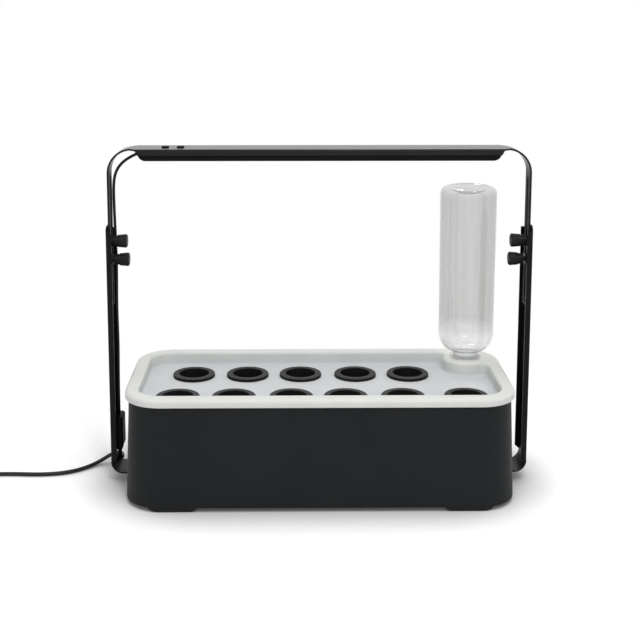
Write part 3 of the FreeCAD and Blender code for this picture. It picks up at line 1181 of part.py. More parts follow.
def make_cord_tail(start):
    """Short tail from the coil down to the plug on its end, and that plug."""
    plug_z = USB_GRIP_HEIGHT / 2 + CORD_REST
    drop = start.z - plug_z
    third = TAIL_DROP_LENGTH / 3
    points = [
        start, start + V(0, third, 0), start + V(-1.2, 2 * third, -drop),
        start + V(-1.2, TAIL_DROP_LENGTH, -drop),
    ]
    path = routed_path(points, "cord_tail")
    save("cord_tail", tube(path, start, points[1] - start, CORD_RADIUS, "cord_tail"))
    base = points[-1]
    half = USB_GRIP_WIDTH / 2
    grip = box(base.x - half, base.x + half, base.y, base.y + USB_GRIP_LENGTH,
               base.z - USB_GRIP_HEIGHT / 2, base.z + USB_GRIP_HEIGHT / 2)
    grip = grip.makeFillet(USB_GRIP_ROUND, edges_at(grip, lambda p: abs(abs(p.x - base.x) - half) < 0.01
                                                    and abs(abs(p.z - base.z) - USB_GRIP_HEIGHT / 2) < 0.01))
    save("usb_plug_grip", grip)
    front = base.y + USB_GRIP_LENGTH
    wide = USB_SHELL_WIDTH / 2
    high = USB_SHELL_HEIGHT / 2
    tip = front + USB_SHELL_LENGTH
    shell = box(base.x - wide, base.x + wide, front, tip, base.z - high, base.z + high)
    wide -= USB_SHELL_WALL
    high -= USB_SHELL_WALL
    shell = shell.cut(box(base.x - wide, base.x + wide, front, tip, base.z - high, base.z + high))
    tongue = box(base.x - wide, base.x + wide, front, tip - 1,
                 base.z + high - USB_TONGUE_HEIGHT, base.z + high)
    save("usb_plug_shell", shell.fuse(tongue).removeSplitter())


def make_cable_grommet():
    """Rubber grommet in the housing's left end, round the lamp cable."""
    outer = grommet_bar(GROMMET_RADIUS, GROMMET_LENGTH)
    save("cable_grommet", outer.cut(grommet_bar(CABLE_RADIUS + GROMMET_CLEARANCE, GROMMET_LENGTH)))


os.makedirs("parts", exist_ok=True)
make_tub()
make_foot_pads()
make_stand_frame()
make_base_screws()
make_lamp_bridge()
make_lamp_housing()
make_housing_screws()
make_lamp_inside()
make_buttons()
make_clamp_studs()
make_clamp_washers()
make_thumb_nuts()
make_growing_tray()
make_grow_cups()
make_bottle()
make_bottle_cap()
make_socket_box()
make_dc_plug()
make_cable_grommet()
make_lamp_cable()
make_power_cord()
make_cord_tail(make_cord_coil())
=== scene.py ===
import math

import bpy
import numpy as np
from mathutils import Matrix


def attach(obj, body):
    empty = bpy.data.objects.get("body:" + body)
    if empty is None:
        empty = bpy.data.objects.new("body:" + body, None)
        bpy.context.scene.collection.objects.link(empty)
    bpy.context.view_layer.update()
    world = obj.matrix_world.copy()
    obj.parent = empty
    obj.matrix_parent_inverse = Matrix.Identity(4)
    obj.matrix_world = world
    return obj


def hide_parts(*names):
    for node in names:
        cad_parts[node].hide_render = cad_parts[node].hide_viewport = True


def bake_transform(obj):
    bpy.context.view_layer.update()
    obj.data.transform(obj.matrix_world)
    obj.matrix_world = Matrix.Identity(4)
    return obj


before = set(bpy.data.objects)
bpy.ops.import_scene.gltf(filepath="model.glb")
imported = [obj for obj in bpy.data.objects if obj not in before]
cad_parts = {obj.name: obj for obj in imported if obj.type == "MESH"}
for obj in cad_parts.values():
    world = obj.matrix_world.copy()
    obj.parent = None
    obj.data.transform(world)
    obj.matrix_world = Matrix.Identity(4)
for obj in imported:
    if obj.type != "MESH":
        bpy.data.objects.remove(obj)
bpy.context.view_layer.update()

# Camera
# A long lens from the front and above, as the photograph was taken. Its shift
# keeps the uprights nearly parallel.
CAMERA_PLACE = (-0.0315, -1.2, 0.5086)
CAMERA_DOWN = 8.557
CAMERA_TURN = -0.57

camera_data = bpy.data.cameras.new("camera")
camera_data.lens = 64.9
camera_data.sensor_width = 36.0
camera_data.shift_x = 0.03
camera_data.shift_y = -0.22
camera_data.clip_start = 0.05
camera_data.clip_end = 60.0
camera = bpy.data.objects.new("camera", camera_data)
camera.location = CAMERA_PLACE
camera.rotation_euler = (math.radians(90 - CAMERA_DOWN), 0, math.radians(CAMERA_TURN))
bpy.context.scene.collection.objects.link(camera)
bpy.context.scene.camera = camera

# Power lead
# Round rubber lead, 4.2 mm thick. It leaves the plug under the socket box, turns
# behind the left leg and runs away over the floor; what the photograph doesn't
# show is put away as a two-layer coil with its supply plug beside it.
LEAD_RADIUS = 0.0021
LEAD_FLOOR = 0.00215
LEAD_EXIT = (-0.21685, 0.004, 0.029)
LEAD_ROUTE = [
    LEAD_EXIT, (-0.21685, 0.004, 0.0244), (-0.2166, 0.0076, 0.0194), (-0.2156, 0.0154, 0.0172),
    (-0.2186, 0.0274, 0.0168), (-0.229, 0.036, 0.013), (-0.2435, 0.035, 0.0036),
    (-0.2555, 0.0216, LEAD_FLOOR), (-0.269, 0.010, LEAD_FLOOR), (-0.286, 0.0032, LEAD_FLOOR),
    (-0.308, 0.0012, LEAD_FLOOR), (-0.335, 0.0034, LEAD_FLOOR), (-0.364, 0.0024, LEAD_FLOOR),
    (-0.392, 0.0024, LEAD_FLOOR),
]
COIL_CENTRE = (-0.3962, 0.0344, LEAD_FLOOR)
COIL_RADIUS = 0.032
COIL_STEP_IN = 0.0048
COIL_RISE = 0.0048
COIL_LOOPS = 4
COIL_STEPS = 8
COIL_LAST_STEPS = 4
TAIL_START = (-0.4261, 0.0386, LEAD_FLOOR + COIL_RISE)
TAIL_LENGTH = 0.04
TAIL_ASIDE = 0.0012
GRIP_MIDDLE = 0.00405


def coil_of_lead():
    """Loops as points: the radius falls by one step a turn, and grows again in the second layer.

    With h half turns made, radius = outer - step * min(h, all - h) / 2, angle = -90 deg - 180 deg * h,
    and the height rises by one layer during the half turn in the middle, as 3c^2 - 2c^3. The points
    stand outside the radius by what the smooth line cuts off at each of them.
    """
    halves = np.arange(1, COIL_STEPS * 4 * COIL_LOOPS + COIL_LAST_STEPS + 1) / COIL_STEPS
    everything = 4 * COIL_LOOPS + 1
    radius = COIL_RADIUS - COIL_STEP_IN * np.minimum(halves, everything - halves) / 2
    radius = radius / (0.75 + 0.25 * math.cos(math.pi / COIL_STEPS))
    angle = -math.pi / 2 - math.pi * halves
    climb = np.clip(halves - 2 * COIL_LOOPS, 0, 1)
    height = COIL_RISE * climb * climb * (3 - 2 * climb)
    centre = np.array(COIL_CENTRE)
    return centre + np.stack([radius * np.cos(angle), radius * np.sin(angle), height], 1)


def lead_tail():
    """Straight end of the coil, eased down to the middle of the supply plug's grip."""
    third = TAIL_LENGTH / 3
    drop = TAIL_START[2] - GRIP_MIDDLE
    return np.array(TAIL_START) + np.array([
        (0, 0, 0), (0, third, 0), (-TAIL_ASIDE, 2 * third, -drop), (-TAIL_ASIDE, TAIL_LENGTH, -drop),
    ])


def smooth_line(name, points, radius):
    """Curve object with one open NURBS spline through these control points."""
    curve = bpy.data.curves.new(name, "CURVE")
    curve.dimensions = "3D"
    curve.resolution_u = 8
    curve.bevel_depth = radius
    curve.bevel_resolution = 5
    curve.use_fill_caps = radius > 0
    spline = curve.splines.new("NURBS")
    points = np.asarray(points, float)
    spline.points.add(len(points) - 1)
    spline.points.foreach_set("co", np.hstack([points, np.ones((len(points), 1))]).ravel())
    spline.order_u = 3
    spline.use_endpoint_u = True
    line = bpy.data.objects.new(name, curve)
    bpy.context.scene.collection.objects.link(line)
    return line


def shader_of(material):
    """The material's one Principled shader."""
    return material.node_tree.nodes["Principled BSDF"]


def finish_named(name, colour, roughness, metal=0.0, shine=0.5, clear=0.0):
    """Material with one Principled shader, its plain values set on its own sockets."""
    material = bpy.data.materials.new(name)
    material.use_nodes = True
    shader = shader_of(material)
    shader.inputs["Base Color"].default_value = (*colour, 1)
    shader.inputs["Roughness"].default_value = roughness
    shader.inputs["Metallic"].default_value = metal
    shader.inputs["Specular IOR Level"].default_value = shine
    shader.inputs["Transmission Weight"].default_value = clear
    return material


def add_node(material, kind, **values):
    """New node in a material, with its named inputs set."""
    node = material.node_tree.nodes.new(kind)
    for name, value in values.items():
        node.inputs[name.replace("_", " ")].default_value = value
    return node


def join(material, output, input_socket):
    """Link between two sockets of a material."""
    material.node_tree.links.new(output, input_socket)


def add_noise(material, size, detail):
    """Noise with patches of this size in metres, over the piece's Object coordinates."""
    where = add_node(material, "ShaderNodeTexCoord")
    noise = add_node(material, "ShaderNodeTexNoise", Scale=1.0 / size, Detail=detail)
    join(material, where.outputs["Object"], noise.inputs["Vector"])
    return noise.outputs["Fac"]


def add_ramp(material, source, *stops):
    """Colours through these stops, each a place on the ramp and a colour."""
    ramp = add_node(material, "ShaderNodeValToRGB")
    marks = ramp.color_ramp.elements
    for mark, (place, colour) in zip(marks, stops):
        mark.position = place
        mark.color = (*colour, 1)
    for place, colour in stops[2:]:
        marks.new(place).color = (*colour, 1)
    join(material, source, ramp.inputs["Fac"])
    return ramp.outputs["Color"]


def add_grain(material, size, depth):
    """Surface texture: a noise of this size in metres lifts the surface by this depth in metres."""
    bump = add_node(material, "ShaderNodeBump", Strength=1.0, Distance=depth)
    join(material, add_noise(material, size, 2.0), bump.inputs["Height"])
    join(material, bump.outputs["Normal"], shader_of(material).inputs["Normal"])


def add_mottle(material, size, dark, pale):
    """Uneven colour: a noise of this size in metres mixes a darker and a paler shade."""
    shade = add_ramp(material, add_noise(material, size, 4.0), (0.35, dark), (0.65, pale))
    join(material, shade, shader_of(material).inputs["Base Color"])


def add_uneven_gloss(material, size, smooth, rough):
    """Uneven gloss: a noise of this size in metres moves the roughness between two values."""
    spread = add_node(material, "ShaderNodeMapRange", From_Min=0.3, From_Max=0.7, To_Min=smooth, To_Max=rough)
    join(material, add_noise(material, size, 3.0), spread.inputs["Value"])
    join(material, spread.outputs["Result"], shader_of(material).inputs["Roughness"])


def dress(material, *nodes):
    """Give CAD nodes this material in place of the one that they were packed with."""
    for name in nodes:
        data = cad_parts[name].data
        data.materials.clear()
        data.materials.append(material)


lead_rubber = finish_named("lead_rubber", (0.010, 0.010, 0.011), 0.5, shine=0.3)
add_grain(lead_rubber, 0.0015, 0.000006)
add_mottle(lead_rubber, 0.012, (0.008, 0.008, 0.009), (0.013, 0.013, 0.014))
power_lead = smooth_line("power_lead", np.vstack([LEAD_ROUTE, coil_of_lead(), lead_tail()]), LEAD_RADIUS)
power_lead.data.materials.append(lead_rubber)
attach(power_lead, "tub")
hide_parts("power_cord", "cord_coil", "cord_tail")
dress(lead_rubber, "usb_plug_grip", "dc_plug")

plated_steel = finish_named("plated_steel", (0.62, 0.62, 0.63), 0.32, metal=1.0)
add_grain(plated_steel, 0.0008, 0.00001)
add_uneven_gloss(plated_steel, 0.004, 0.26, 0.4)
dress(plated_steel, "usb_plug_shell")

# Lamp cable
# Thinner black cable from the lamp's left end down inside the leg to the socket
# box. It is held at both ends and takes up the lamp's height with its length.
CABLE_RADIUS = 0.00155
CABLE_ROUTE = [
    (-0.170, 0.006, 0.35798), (-0.18335, 0.006, 0.35809), (-0.19991, 0.006, 0.35105),
    (-0.2098, 0.0078, 0.3433), (-0.2156, 0.0092, 0.334), (-0.2179, 0.0103, 0.322),
    (-0.218, 0.0107, 0.302), (-0.2173, 0.011, 0.270), (-0.2166, 0.0106, 0.232),
    (-0.2174, 0.009, 0.190), (-0.2163, 0.0064, 0.148), (-0.21685, 0.004, 0.108),
    (-0.21685, 0.004, 0.0697),
]


def points_along(line):
    """The points of a curve object's own line, in order, as an array."""
    bpy.context.view_layer.update()
    ready = line.evaluated_get(bpy.context.evaluated_depsgraph_get())
    mesh = bpy.data.meshes.new_from_object(ready)
    points = np.zeros(len(mesh.vertices) * 3)
    mesh.vertices.foreach_get("co", points)
    bpy.data.meshes.remove(mesh)
    return points.reshape(-1, 3)


def ring_faces(rings, sides):
    """Four corners of each face between one ring of points and the next."""
    ring, corner = [a.ravel() for a in np.meshgrid(np.arange(rings - 1), np.arange(sides), indexing="ij")]
    start = ring * sides
    over = (corner + 1) % sides
    return np.stack([start + corner, start + over, start + sides + over, start + sides + corner], 1)


def surface_piece(name, points, faces):
    """Mesh object at the origin from an array of points and an array of four-cornered faces."""
    mesh = bpy.data.meshes.new(name)
    mesh.from_pydata(points.tolist(), [], [list(dict.fromkeys(f)) for f in faces.tolist()])
    mesh.validate()
    mesh.polygons.foreach_set("use_smooth", np.full(len(mesh.polygons), True))
    mesh.update()
    piece = bpy.data.objects.new(name, mesh)
    bpy.context.scene.collection.objects.link(piece)
    return piece


def closed_rings(name, rings, first, last):
    """Closed piece from rings of points stored as rows, with the two end rings drawn to a point each."""
    count, sides = rings.shape[:2]
    points = np.vstack([rings.reshape(-1, 3), [first], [last]])
    i = np.arange(sides)
    j = (i + 1) % sides
    end = (count - 1) * sides
    start_fan = np.stack([np.full(sides, count * sides), j, i, i], 1)
    end_fan = np.stack([np.full(sides, count * sides + 1), end + i, end + j, end + j], 1)
    return surface_piece(name, points, np.vstack([ring_faces(count, sides), start_fan, end_fan]))


def round_tube(name, line, radius, side, sides=16):
    """Tube: a circle of this radius set square to the line at each of its points.

    At a point with direction t, the circle's axes are n = t x side and n x t, so a point of the
    tube is line + radius * (cos(a) n + sin(a) n x t). The ends are closed by drawing them to a point.
    """
    t = np.gradient(line, axis=0)
    t /= np.linalg.norm(t, axis=1, keepdims=True)
    n = np.cross(t, side)
    n /= np.linalg.norm(n, axis=1, keepdims=True)
    b = np.cross(n, t)
    a = np.linspace(0, 2 * math.pi, sides, endpoint=False)
    circle = np.cos(a)[None, :, None] * n[:, None] + np.sin(a)[None, :, None] * b[:, None]
    return closed_rings(name, line[:, None] + radius * circle, line[0], line[-1])


cable_line = smooth_line("cable_line", CABLE_ROUTE, 0.0)
cable_points = points_along(cable_line)
bpy.data.objects.remove(cable_line)
lamp_cable = round_tube("lamp_cable_run", cable_points, CABLE_RADIUS, (0, 1, 0))
lamp_cable.data.materials.append(lead_rubber)
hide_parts("lamp_cable")
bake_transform(lamp_cable)
dress(lead_rubber, "cable_grommet")

# Tub
# Reservoir moulded in charcoal plastic with a fine spark-eroded texture; it
# stands on four short feet with thin rubber pads.
tub_plastic = finish_named("tub_plastic", (0.0122, 0.0134, 0.0146), 0.55, shine=0.12)
add_grain(tub_plastic, 0.0007, 0.00003)
add_mottle(tub_plastic, 0.05, (0.0114, 0.0126, 0.0138), (0.0132, 0.0144, 0.0156))
dress(tub_plastic, "tub")
pad_rubber = finish_named("pad_rubber", (0.02, 0.02, 0.021), 0.75)
add_grain(pad_rubber, 0.0005, 0.00003)
dress(pad_rubber, "foot_pads")

# Stand
# One bent steel strip with channel legs, powder coated satin black, screwed up
# into the tub's floor.
satin_black = finish_named("satin_black", (0.0045, 0.0048, 0.0055), 0.30, shine=0.12)
add_grain(satin_black, 0.0018, 0.000003)
add_uneven_gloss(satin_black, 0.02, 0.27, 0.33)
add_mottle(satin_black, 0.03, (0.004, 0.0042, 0.0048), (0.0055, 0.0058, 0.0065))
dress(satin_black, "stand_frame")
dress(plated_steel, "base_screws")

# Lamp bridge
# A second bent strip: the lamp's cover in the middle, a slotted strap at each
# end that slides inside the legs. The coat is duller on the straps than on the cover.
STRAP_DULL_BELOW = 0.322
COVER_GLOSSY_ABOVE = 0.356
STRAP_ROUGHNESS = 0.55
COVER_ROUGHNESS = 0.22


def height_on(material):
    """Height in metres, from the piece's Object coordinates."""
    where = add_node(material, "ShaderNodeTexCoord")
    apart = add_node(material, "ShaderNodeSeparateXYZ")
    join(material, where.outputs["Object"], apart.inputs["Vector"])
    return apart.outputs["Z"]


def eased(material, source, low, high, start=0.0, end=1.0):
    """Value that runs from start to end while the source runs from low to high, as 3t^2 - 2t^3."""
    spread = add_node(material, "ShaderNodeMapRange", From_Min=low, From_Max=high, To_Min=start, To_Max=end)
    spread.interpolation_type = "SMOOTHSTEP"
    join(material, source, spread.inputs["Value"])
    return spread.outputs["Result"]


bridge_black = finish_named("bridge_black", (0.0085, 0.0090, 0.0100), COVER_ROUGHNESS, shine=0.17)
add_grain(bridge_black, 0.0018, 0.000001)
bridge_gloss = eased(bridge_black, height_on(bridge_black), STRAP_DULL_BELOW, COVER_GLOSSY_ABOVE,
                     STRAP_ROUGHNESS, COVER_ROUGHNESS)
join(bridge_black, bridge_gloss, shader_of(bridge_black).inputs["Roughness"])
add_mottle(bridge_black, 0.04, (0.0070, 0.0074, 0.0084), (0.0088, 0.0092, 0.0102))
dress(bridge_black, "lamp_bridge")

# Lamp housing
# Boat-shaped plastic trough under the cover, with a frosted window, the board of
# light chips behind it and the control board at the left end.
housing_plastic = finish_named("housing_plastic", (0.0028, 0.0032, 0.0034), 0.42, shine=0.1)
add_grain(housing_plastic, 0.0009, 0.000008)
add_mottle(housing_plastic, 0.03, (0.0022, 0.0026, 0.0028), (0.0034, 0.0038, 0.0040))
dress(housing_plastic, "lamp_housing")
dress(plated_steel, "housing_screws")
frosted = finish_named("frosted", (0.86, 0.86, 0.84), 0.55, clear=0.55)
add_grain(frosted, 0.0009, 0.00002)
dress(frosted, "diffuser")
board_white = finish_named("board_white", (0.80, 0.81, 0.80), 0.35)
add_grain(board_white, 0.002, 0.00001)
dress(board_white, "led_board")
chip_yellow = finish_named("chip_yellow", (0.90, 0.74, 0.22), 0.3)
add_mottle(chip_yellow, 0.002, (0.86, 0.68, 0.18), (0.93, 0.78, 0.28))
dress(chip_yellow, "led_chips")
board_green = finish_named("board_green", (0.02, 0.12, 0.05), 0.35)
add_mottle(board_green, 0.003, (0.015, 0.09, 0.04), (0.03, 0.16, 0.07))
dress(board_green, "control_board")

# Buttons
# Two square push buttons in matte black plastic that stand just proud of the
# cover, over small switches on the control board.
button_plastic = finish_named("button_plastic", (0.004, 0.004, 0.0045), 0.5, shine=0.1)
add_grain(button_plastic, 0.0005, 0.00002)
dress(button_plastic, "power_button", "mode_button", "tact_switches")

# Clamps
# Ribbed plastic thumb nuts with washers, on blackened steel studs that stand
# through the strap's slots.
knob_plastic = finish_named("knob_plastic", (0.0065, 0.0065, 0.007), 0.45, shine=0.2)
add_grain(knob_plastic, 0.0006, 0.00002)
add_mottle(knob_plastic, 0.01, (0.0055, 0.0055, 0.006), (0.008, 0.008, 0.0085))
dress(knob_plastic, "thumb_nut_left_upper", "thumb_nut_right_upper", "thumb_nut_left_lower",
      "thumb_nut_right_lower")
blackened_steel = finish_named("blackened_steel", (0.012, 0.012, 0.0125), 0.35, shine=0.35)
add_grain(blackened_steel, 0.001, 0.000004)
add_uneven_gloss(blackened_steel, 0.004, 0.3, 0.42)
dress(blackened_steel, "clamp_studs", "clamp_washers")

# Growing tray
# Lift-out tray moulded in off-white plastic, with a round boss that takes the
# bottle's neck at the back right corner. Low down it has painted shade, darker and cooler, as under the lamp.
# Painted shade on the tray: in full below the first height, gone above the second.
TRAY_SHADE_BELOW = 0.1030
TRAY_UNSHADED_ABOVE = 0.1168
TRAY_SHADE_TINT = (0.862, 0.868, 0.922)


def add_mix(material, blend="MIX"):
    """Colour mix: input 0 takes the share, inputs 6 and 7 the two colours, output 2 gives the result."""
    mix = add_node(material, "ShaderNodeMix")
    mix.data_type = "RGBA"
    mix.blend_type = blend
    return mix


def add_painted_shade(material, low, high, shade_tint):
    """Painted shade by height: the surface's own colour is multiplied by a tint that fades out upwards.

    The tint is in full at the lower height and below, and gone at the upper one and above.
    """
    own = shader_of(material).inputs["Base Color"].links[0].from_socket
    tint = add_mix(material)
    tint.inputs[6].default_value = (*shade_tint, 1)
    tint.inputs[7].default_value = (1, 1, 1, 1)
    product = add_mix(material, "MULTIPLY")
    product.inputs[0].default_value = 1.0
    join(material, eased(material, height_on(material), low, high), tint.inputs[0])
    join(material, own, product.inputs[6])
    join(material, tint.outputs[2], product.inputs[7])
    join(material, product.outputs[2], shader_of(material).inputs["Base Color"])


tray_plastic = finish_named("tray_plastic", (0.725, 0.738, 0.705), 0.55, shine=0.2)
add_grain(tray_plastic, 0.0009, 0.00002)
add_mottle(tray_plastic, 0.04, (0.71, 0.723, 0.69), (0.74, 0.753, 0.72))
add_painted_shade(tray_plastic, TRAY_SHADE_BELOW, TRAY_UNSHADED_ABOVE, TRAY_SHADE_TINT)
dress(tray_plastic, "growing_tray")

# Grow cups
# Eleven lift-out cups in speckled dark grey plastic, slotted at the bottom. Painted
# shade darkens them from just under the flange's top face downwards, into the bores.
# Painted shade on the cups: in full below the first height, gone above the second.
CUP_SHADE_BELOW = 0.1048
CUP_UNSHADED_ABOVE = 0.1058
CUP_SHADE_TINT = (0.16, 0.16, 0.17)

cup_plastic = finish_named("cup_plastic", (0.045, 0.045, 0.048), 0.6, shine=0.12)
add_grain(cup_plastic, 0.0008, 0.00004)
add_mottle(cup_plastic, 0.0012, (0.022, 0.022, 0.024), (0.065, 0.065, 0.068))
add_painted_shade(cup_plastic, CUP_SHADE_BELOW, CUP_UNSHADED_ABOVE, CUP_SHADE_TINT)
dress(cup_plastic, *["grow_cup_%d" % k for k in range(1, 12)])

# Bottle
# Clear blown bottle standing neck down in the tray's boss: dished base on top,
# straight wall, round shoulder, thick support ring and a threaded neck.
BOTTLE_AXIS = (0.166, 0.053)
BOTTLE_TOP = 0.312
BOTTLE_RADIUS = 0.0312
BOTTLE_WALL = 0.0008
INSIDE_OFF_AXIS = 0.0005
BASE_ROUND = 0.008
INNERMOST = 0.0006
DISH_RADIUS = 0.018
DISH_DEPTH = 0.008
DISH_EDGE = 0.0028
NUB_HEIGHT = 0.0006
NUB_SPREAD = 0.0028
FOOT_OF_WALL = (0.0304, 0.1475)
SHOULDER_SWEEP = 84
NECK = (0.0143, 0.1255)
NECK_ABOVE = 0.001
NECK_FILLET = [(0.0153, 0.1264), (0.0146, 0.1258), (NECK[0], 0.1249), (NECK[0], 0.1225), (0.0145, 0.1212)]
RING_MIDDLE = 0.0162
UPPER_ROLL = {"height": 0.1196, "reach": 0.0011, "rise": 0.0009, "start": 100, "end": -60}
LOWER_ROLL = {"height": 0.1183, "reach": 0.0012, "rise": 0.0008, "start": 50, "end": -90}
RING_UNDER = 0.1175
MOUTH = (0.01245, 0.0965)
MOUTH_BORE = 0.0109
BORE_TOP = 0.1185
THREAD_RADIUS = 0.0136
THREAD_HEIGHTS = (0.1065, 0.1015)
THREAD_RIDGE = [(MOUTH[0], 0.0017), (THREAD_RADIUS, 0.0011), (THREAD_RADIUS, 0.0003), (MOUTH[0], -0.0003)]
STREAKS = (170, 170, 7)
STREAK_DARK = (0.742, 0.742, 0.735)
STREAK_PALE = (0.785, 0.79, 0.785)
# Painted light: near the shoulder and the base the tint is mixed towards a paler colour, for the white tray
# and lamps seen in and through the bottle.
PAINTED_LIGHT_BY_HEIGHT = [(0.146, (1, 1, 1)), (0.156, (0, 0, 0)), (0.3035, (0, 0, 0)), (0.3085, (0.75, 0.75, 0.75))]
PAINTED_LIGHT_COLOUR = (0.93, 0.935, 0.935)
SIDE_COLOUR = (0.30, 0.30, 0.30)
# Below this height the neck takes a pale, half-clear finish: painted light for the reflections in the support
# ring.
NECK_LIGHT_BELOW = 0.1178


def along(start, end, count):
    """Even steps from one number to another, the last one left out."""
    return start + (end - start) * np.arange(count) / count


def bottle_side():
    """Half outline of the bottle's outside as (radius, height), from the middle of its base to the ring.

    Dish: the lower part of a circle of radius R = (r^2 + d^2) / 2d, with the moulding's nub as a bell
    curve in its middle. Dish edge: a cubic that starts at the dish's slope and ends level. Corner: a
    quarter circle. Wall: a straight taper. Shoulder: part of an ellipse, radius = neck + reach * cos(t),
    height = foot - drop * sin(t). Neck: a short fillet.
    """
    rise = DISH_DEPTH - DISH_EDGE
    circle = (DISH_RADIUS ** 2 + rise ** 2) / (2 * rise)
    r = along(INNERMOST, DISH_RADIUS, 18)
    nub = NUB_HEIGHT * np.exp(-(r / NUB_SPREAD) ** 2)
    dish = np.stack([r, BOTTLE_TOP - DISH_DEPTH + circle - np.sqrt(circle ** 2 - r ** 2) + nub], 1)
    slope = DISH_RADIUS / math.sqrt(circle ** 2 - DISH_RADIUS ** 2)
    reach = BOTTLE_RADIUS - BASE_ROUND - DISH_RADIUS
    u = along(0, 1, 8)
    level = (BOTTLE_TOP - DISH_EDGE + DISH_EDGE * (3 * u ** 2 - 2 * u ** 3)
             + slope * reach * (u ** 3 - 2 * u ** 2 + u))
    edge = np.stack([DISH_RADIUS + reach * u, np.minimum(level, BOTTLE_TOP)], 1)
    t = along(0, math.pi / 2, 12)
    corner = np.stack([BOTTLE_RADIUS - BASE_ROUND + BASE_ROUND * np.sin(t),
                       BOTTLE_TOP - BASE_ROUND + BASE_ROUND * np.cos(t)], 1)
    u = along(0, 1, 14)
    wall = np.stack([BOTTLE_RADIUS + (FOOT_OF_WALL[0] - BOTTLE_RADIUS) * u,
                     BOTTLE_TOP - BASE_ROUND + (FOOT_OF_WALL[1] - BOTTLE_TOP + BASE_ROUND) * u], 1)
    t = along(0, math.radians(SHOULDER_SWEEP), 22)
    shoulder = np.stack([NECK[0] + (FOOT_OF_WALL[0] - NECK[0]) * np.cos(t),
                         FOOT_OF_WALL[1] - (FOOT_OF_WALL[1] - NECK[1] - NECK_ABOVE) * np.sin(t)], 1)
    return np.vstack([dish, edge, corner, wall, shoulder, NECK_FILLET])


def ring_roll(height, reach, rise, start, end):
    """Part of an ellipse: radius = middle + reach * cos(t), height = height + rise * sin(t)."""
    t = np.linspace(math.radians(start), math.radians(end), 8)
    return np.stack([RING_MIDDLE + reach * np.cos(t), height + rise * np.sin(t)], 1)


def bottle_finish():
    """Half outline below the wall, from the support ring's two rolls down the threads and up the bore."""
    threads = [(radius, low + up) for low in THREAD_HEIGHTS for radius, up in THREAD_RIDGE]
    mouth = [MOUTH, (MOUTH_BORE, MOUTH[1]), (MOUTH_BORE, BORE_TOP)]
    rolls = [ring_roll(**UPPER_ROLL), ring_roll(**LOWER_ROLL)]
    return np.vstack([*rolls, [(MOUTH[0], RING_UNDER)], threads, mouth])


def turned(name, outline, axis, sides=112):
    """Outline turned about an upright axis: (x, y) = axis + radius * (cos a, -sin a), z = height."""
    a = np.linspace(0, 2 * math.pi, sides, endpoint=False)
    outline = np.asarray(outline)
    rings = np.stack([axis[0] + outline[:, :1] * np.cos(a), axis[1] - outline[:, :1] * np.sin(a),
                      np.repeat(outline[:, 1:], sides, 1)], 2)
    return closed_rings(name, rings, (*axis, outline[0, 1]), (*axis, outline[-1, 1]))


def inner_side(side, wall):
    """Outline moved inwards by the wall, square to itself, and kept off the axis."""
    lean = np.gradient(side, axis=0)
    lean /= np.linalg.norm(lean, axis=1, keepdims=True)
    inside = side + wall * np.stack([lean[:, 1], -lean[:, 0]], 1)
    inside[:, 0] = np.maximum(inside[:, 0], INSIDE_OFF_AXIS)
    return inside


side = bottle_side()
outline = np.vstack([side, bottle_finish(), inner_side(side, BOTTLE_WALL)[::-1]])
bottle = turned("bottle_blown", outline, BOTTLE_AXIS)
clear_plastic = finish_named("clear_plastic", (0.82, 0.82, 0.81), 0.02, clear=1.0)
shader_of(clear_plastic).inputs["IOR"].default_value = 1.45
flow_place = add_node(clear_plastic, "ShaderNodeTexCoord")
flow_stretch = add_node(clear_plastic, "ShaderNodeMapping", Scale=STREAKS)
flow = add_node(clear_plastic, "ShaderNodeTexNoise", Scale=1.0, Detail=2.0)
join(clear_plastic, flow_place.outputs["Object"], flow_stretch.inputs["Vector"])
join(clear_plastic, flow_stretch.outputs["Vector"], flow.inputs["Vector"])
flow_tint = add_ramp(clear_plastic, flow.outputs["Fac"], (0.35, STREAK_DARK), (0.68, STREAK_PALE))
# Painted light near the shoulder and the base, mixed into the streaked tint.
painted_light_share = add_ramp(clear_plastic, height_on(clear_plastic), *PAINTED_LIGHT_BY_HEIGHT)
painted_light_mix = add_mix(clear_plastic)
painted_light_mix.inputs[7].default_value = (*PAINTED_LIGHT_COLOUR, 1)
side_tint = add_mix(clear_plastic)
side_tint.inputs[7].default_value = (*SIDE_COLOUR, 1)
side_on = add_node(clear_plastic, "ShaderNodeLayerWeight", Blend=0.15)
join(clear_plastic, painted_light_share, painted_light_mix.inputs[0])
join(clear_plastic, flow_tint, painted_light_mix.inputs[6])
join(clear_plastic, side_on.outputs["Facing"], side_tint.inputs[0])
join(clear_plastic, painted_light_mix.outputs[2], side_tint.inputs[6])
join(clear_plastic, side_tint.outputs[2], shader_of(clear_plastic).inputs["Base Color"])
# Painted light: the neck under the support ring is pale and half clear, standing in for bright reflections in
# the ring.
neck_painted_light = finish_named("neck_painted_light", (0.88, 0.885, 0.88), 0.35, clear=0.45)
add_grain(neck_painted_light, 0.0012, 0.000006)
bottle.data.materials.append(clear_plastic)
bottle.data.materials.append(neck_painted_light)
centres = np.zeros(len(bottle.data.polygons) * 3)
bottle.data.polygons.foreach_get("center", centres)
bottle.data.polygons.foreach_set("material_index", (centres[2::3] < NECK_LIGHT_BELOW).astype(np.int32))
bottle.visible_shadow = False
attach(bottle, "bottle")
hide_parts("bottle")
cap_white = finish_named("cap_white", (0.80, 0.80, 0.79), 0.35)
add_grain(cap_white, 0.0008, 0.00001)
dress(cap_white, "bottle_cap")
seal_rubber = finish_named("seal_rubber", (0.55, 0.55, 0.53), 0.6)
add_grain(seal_rubber, 0.0006, 0.00002)
dress(seal_rubber, "cap_seal")

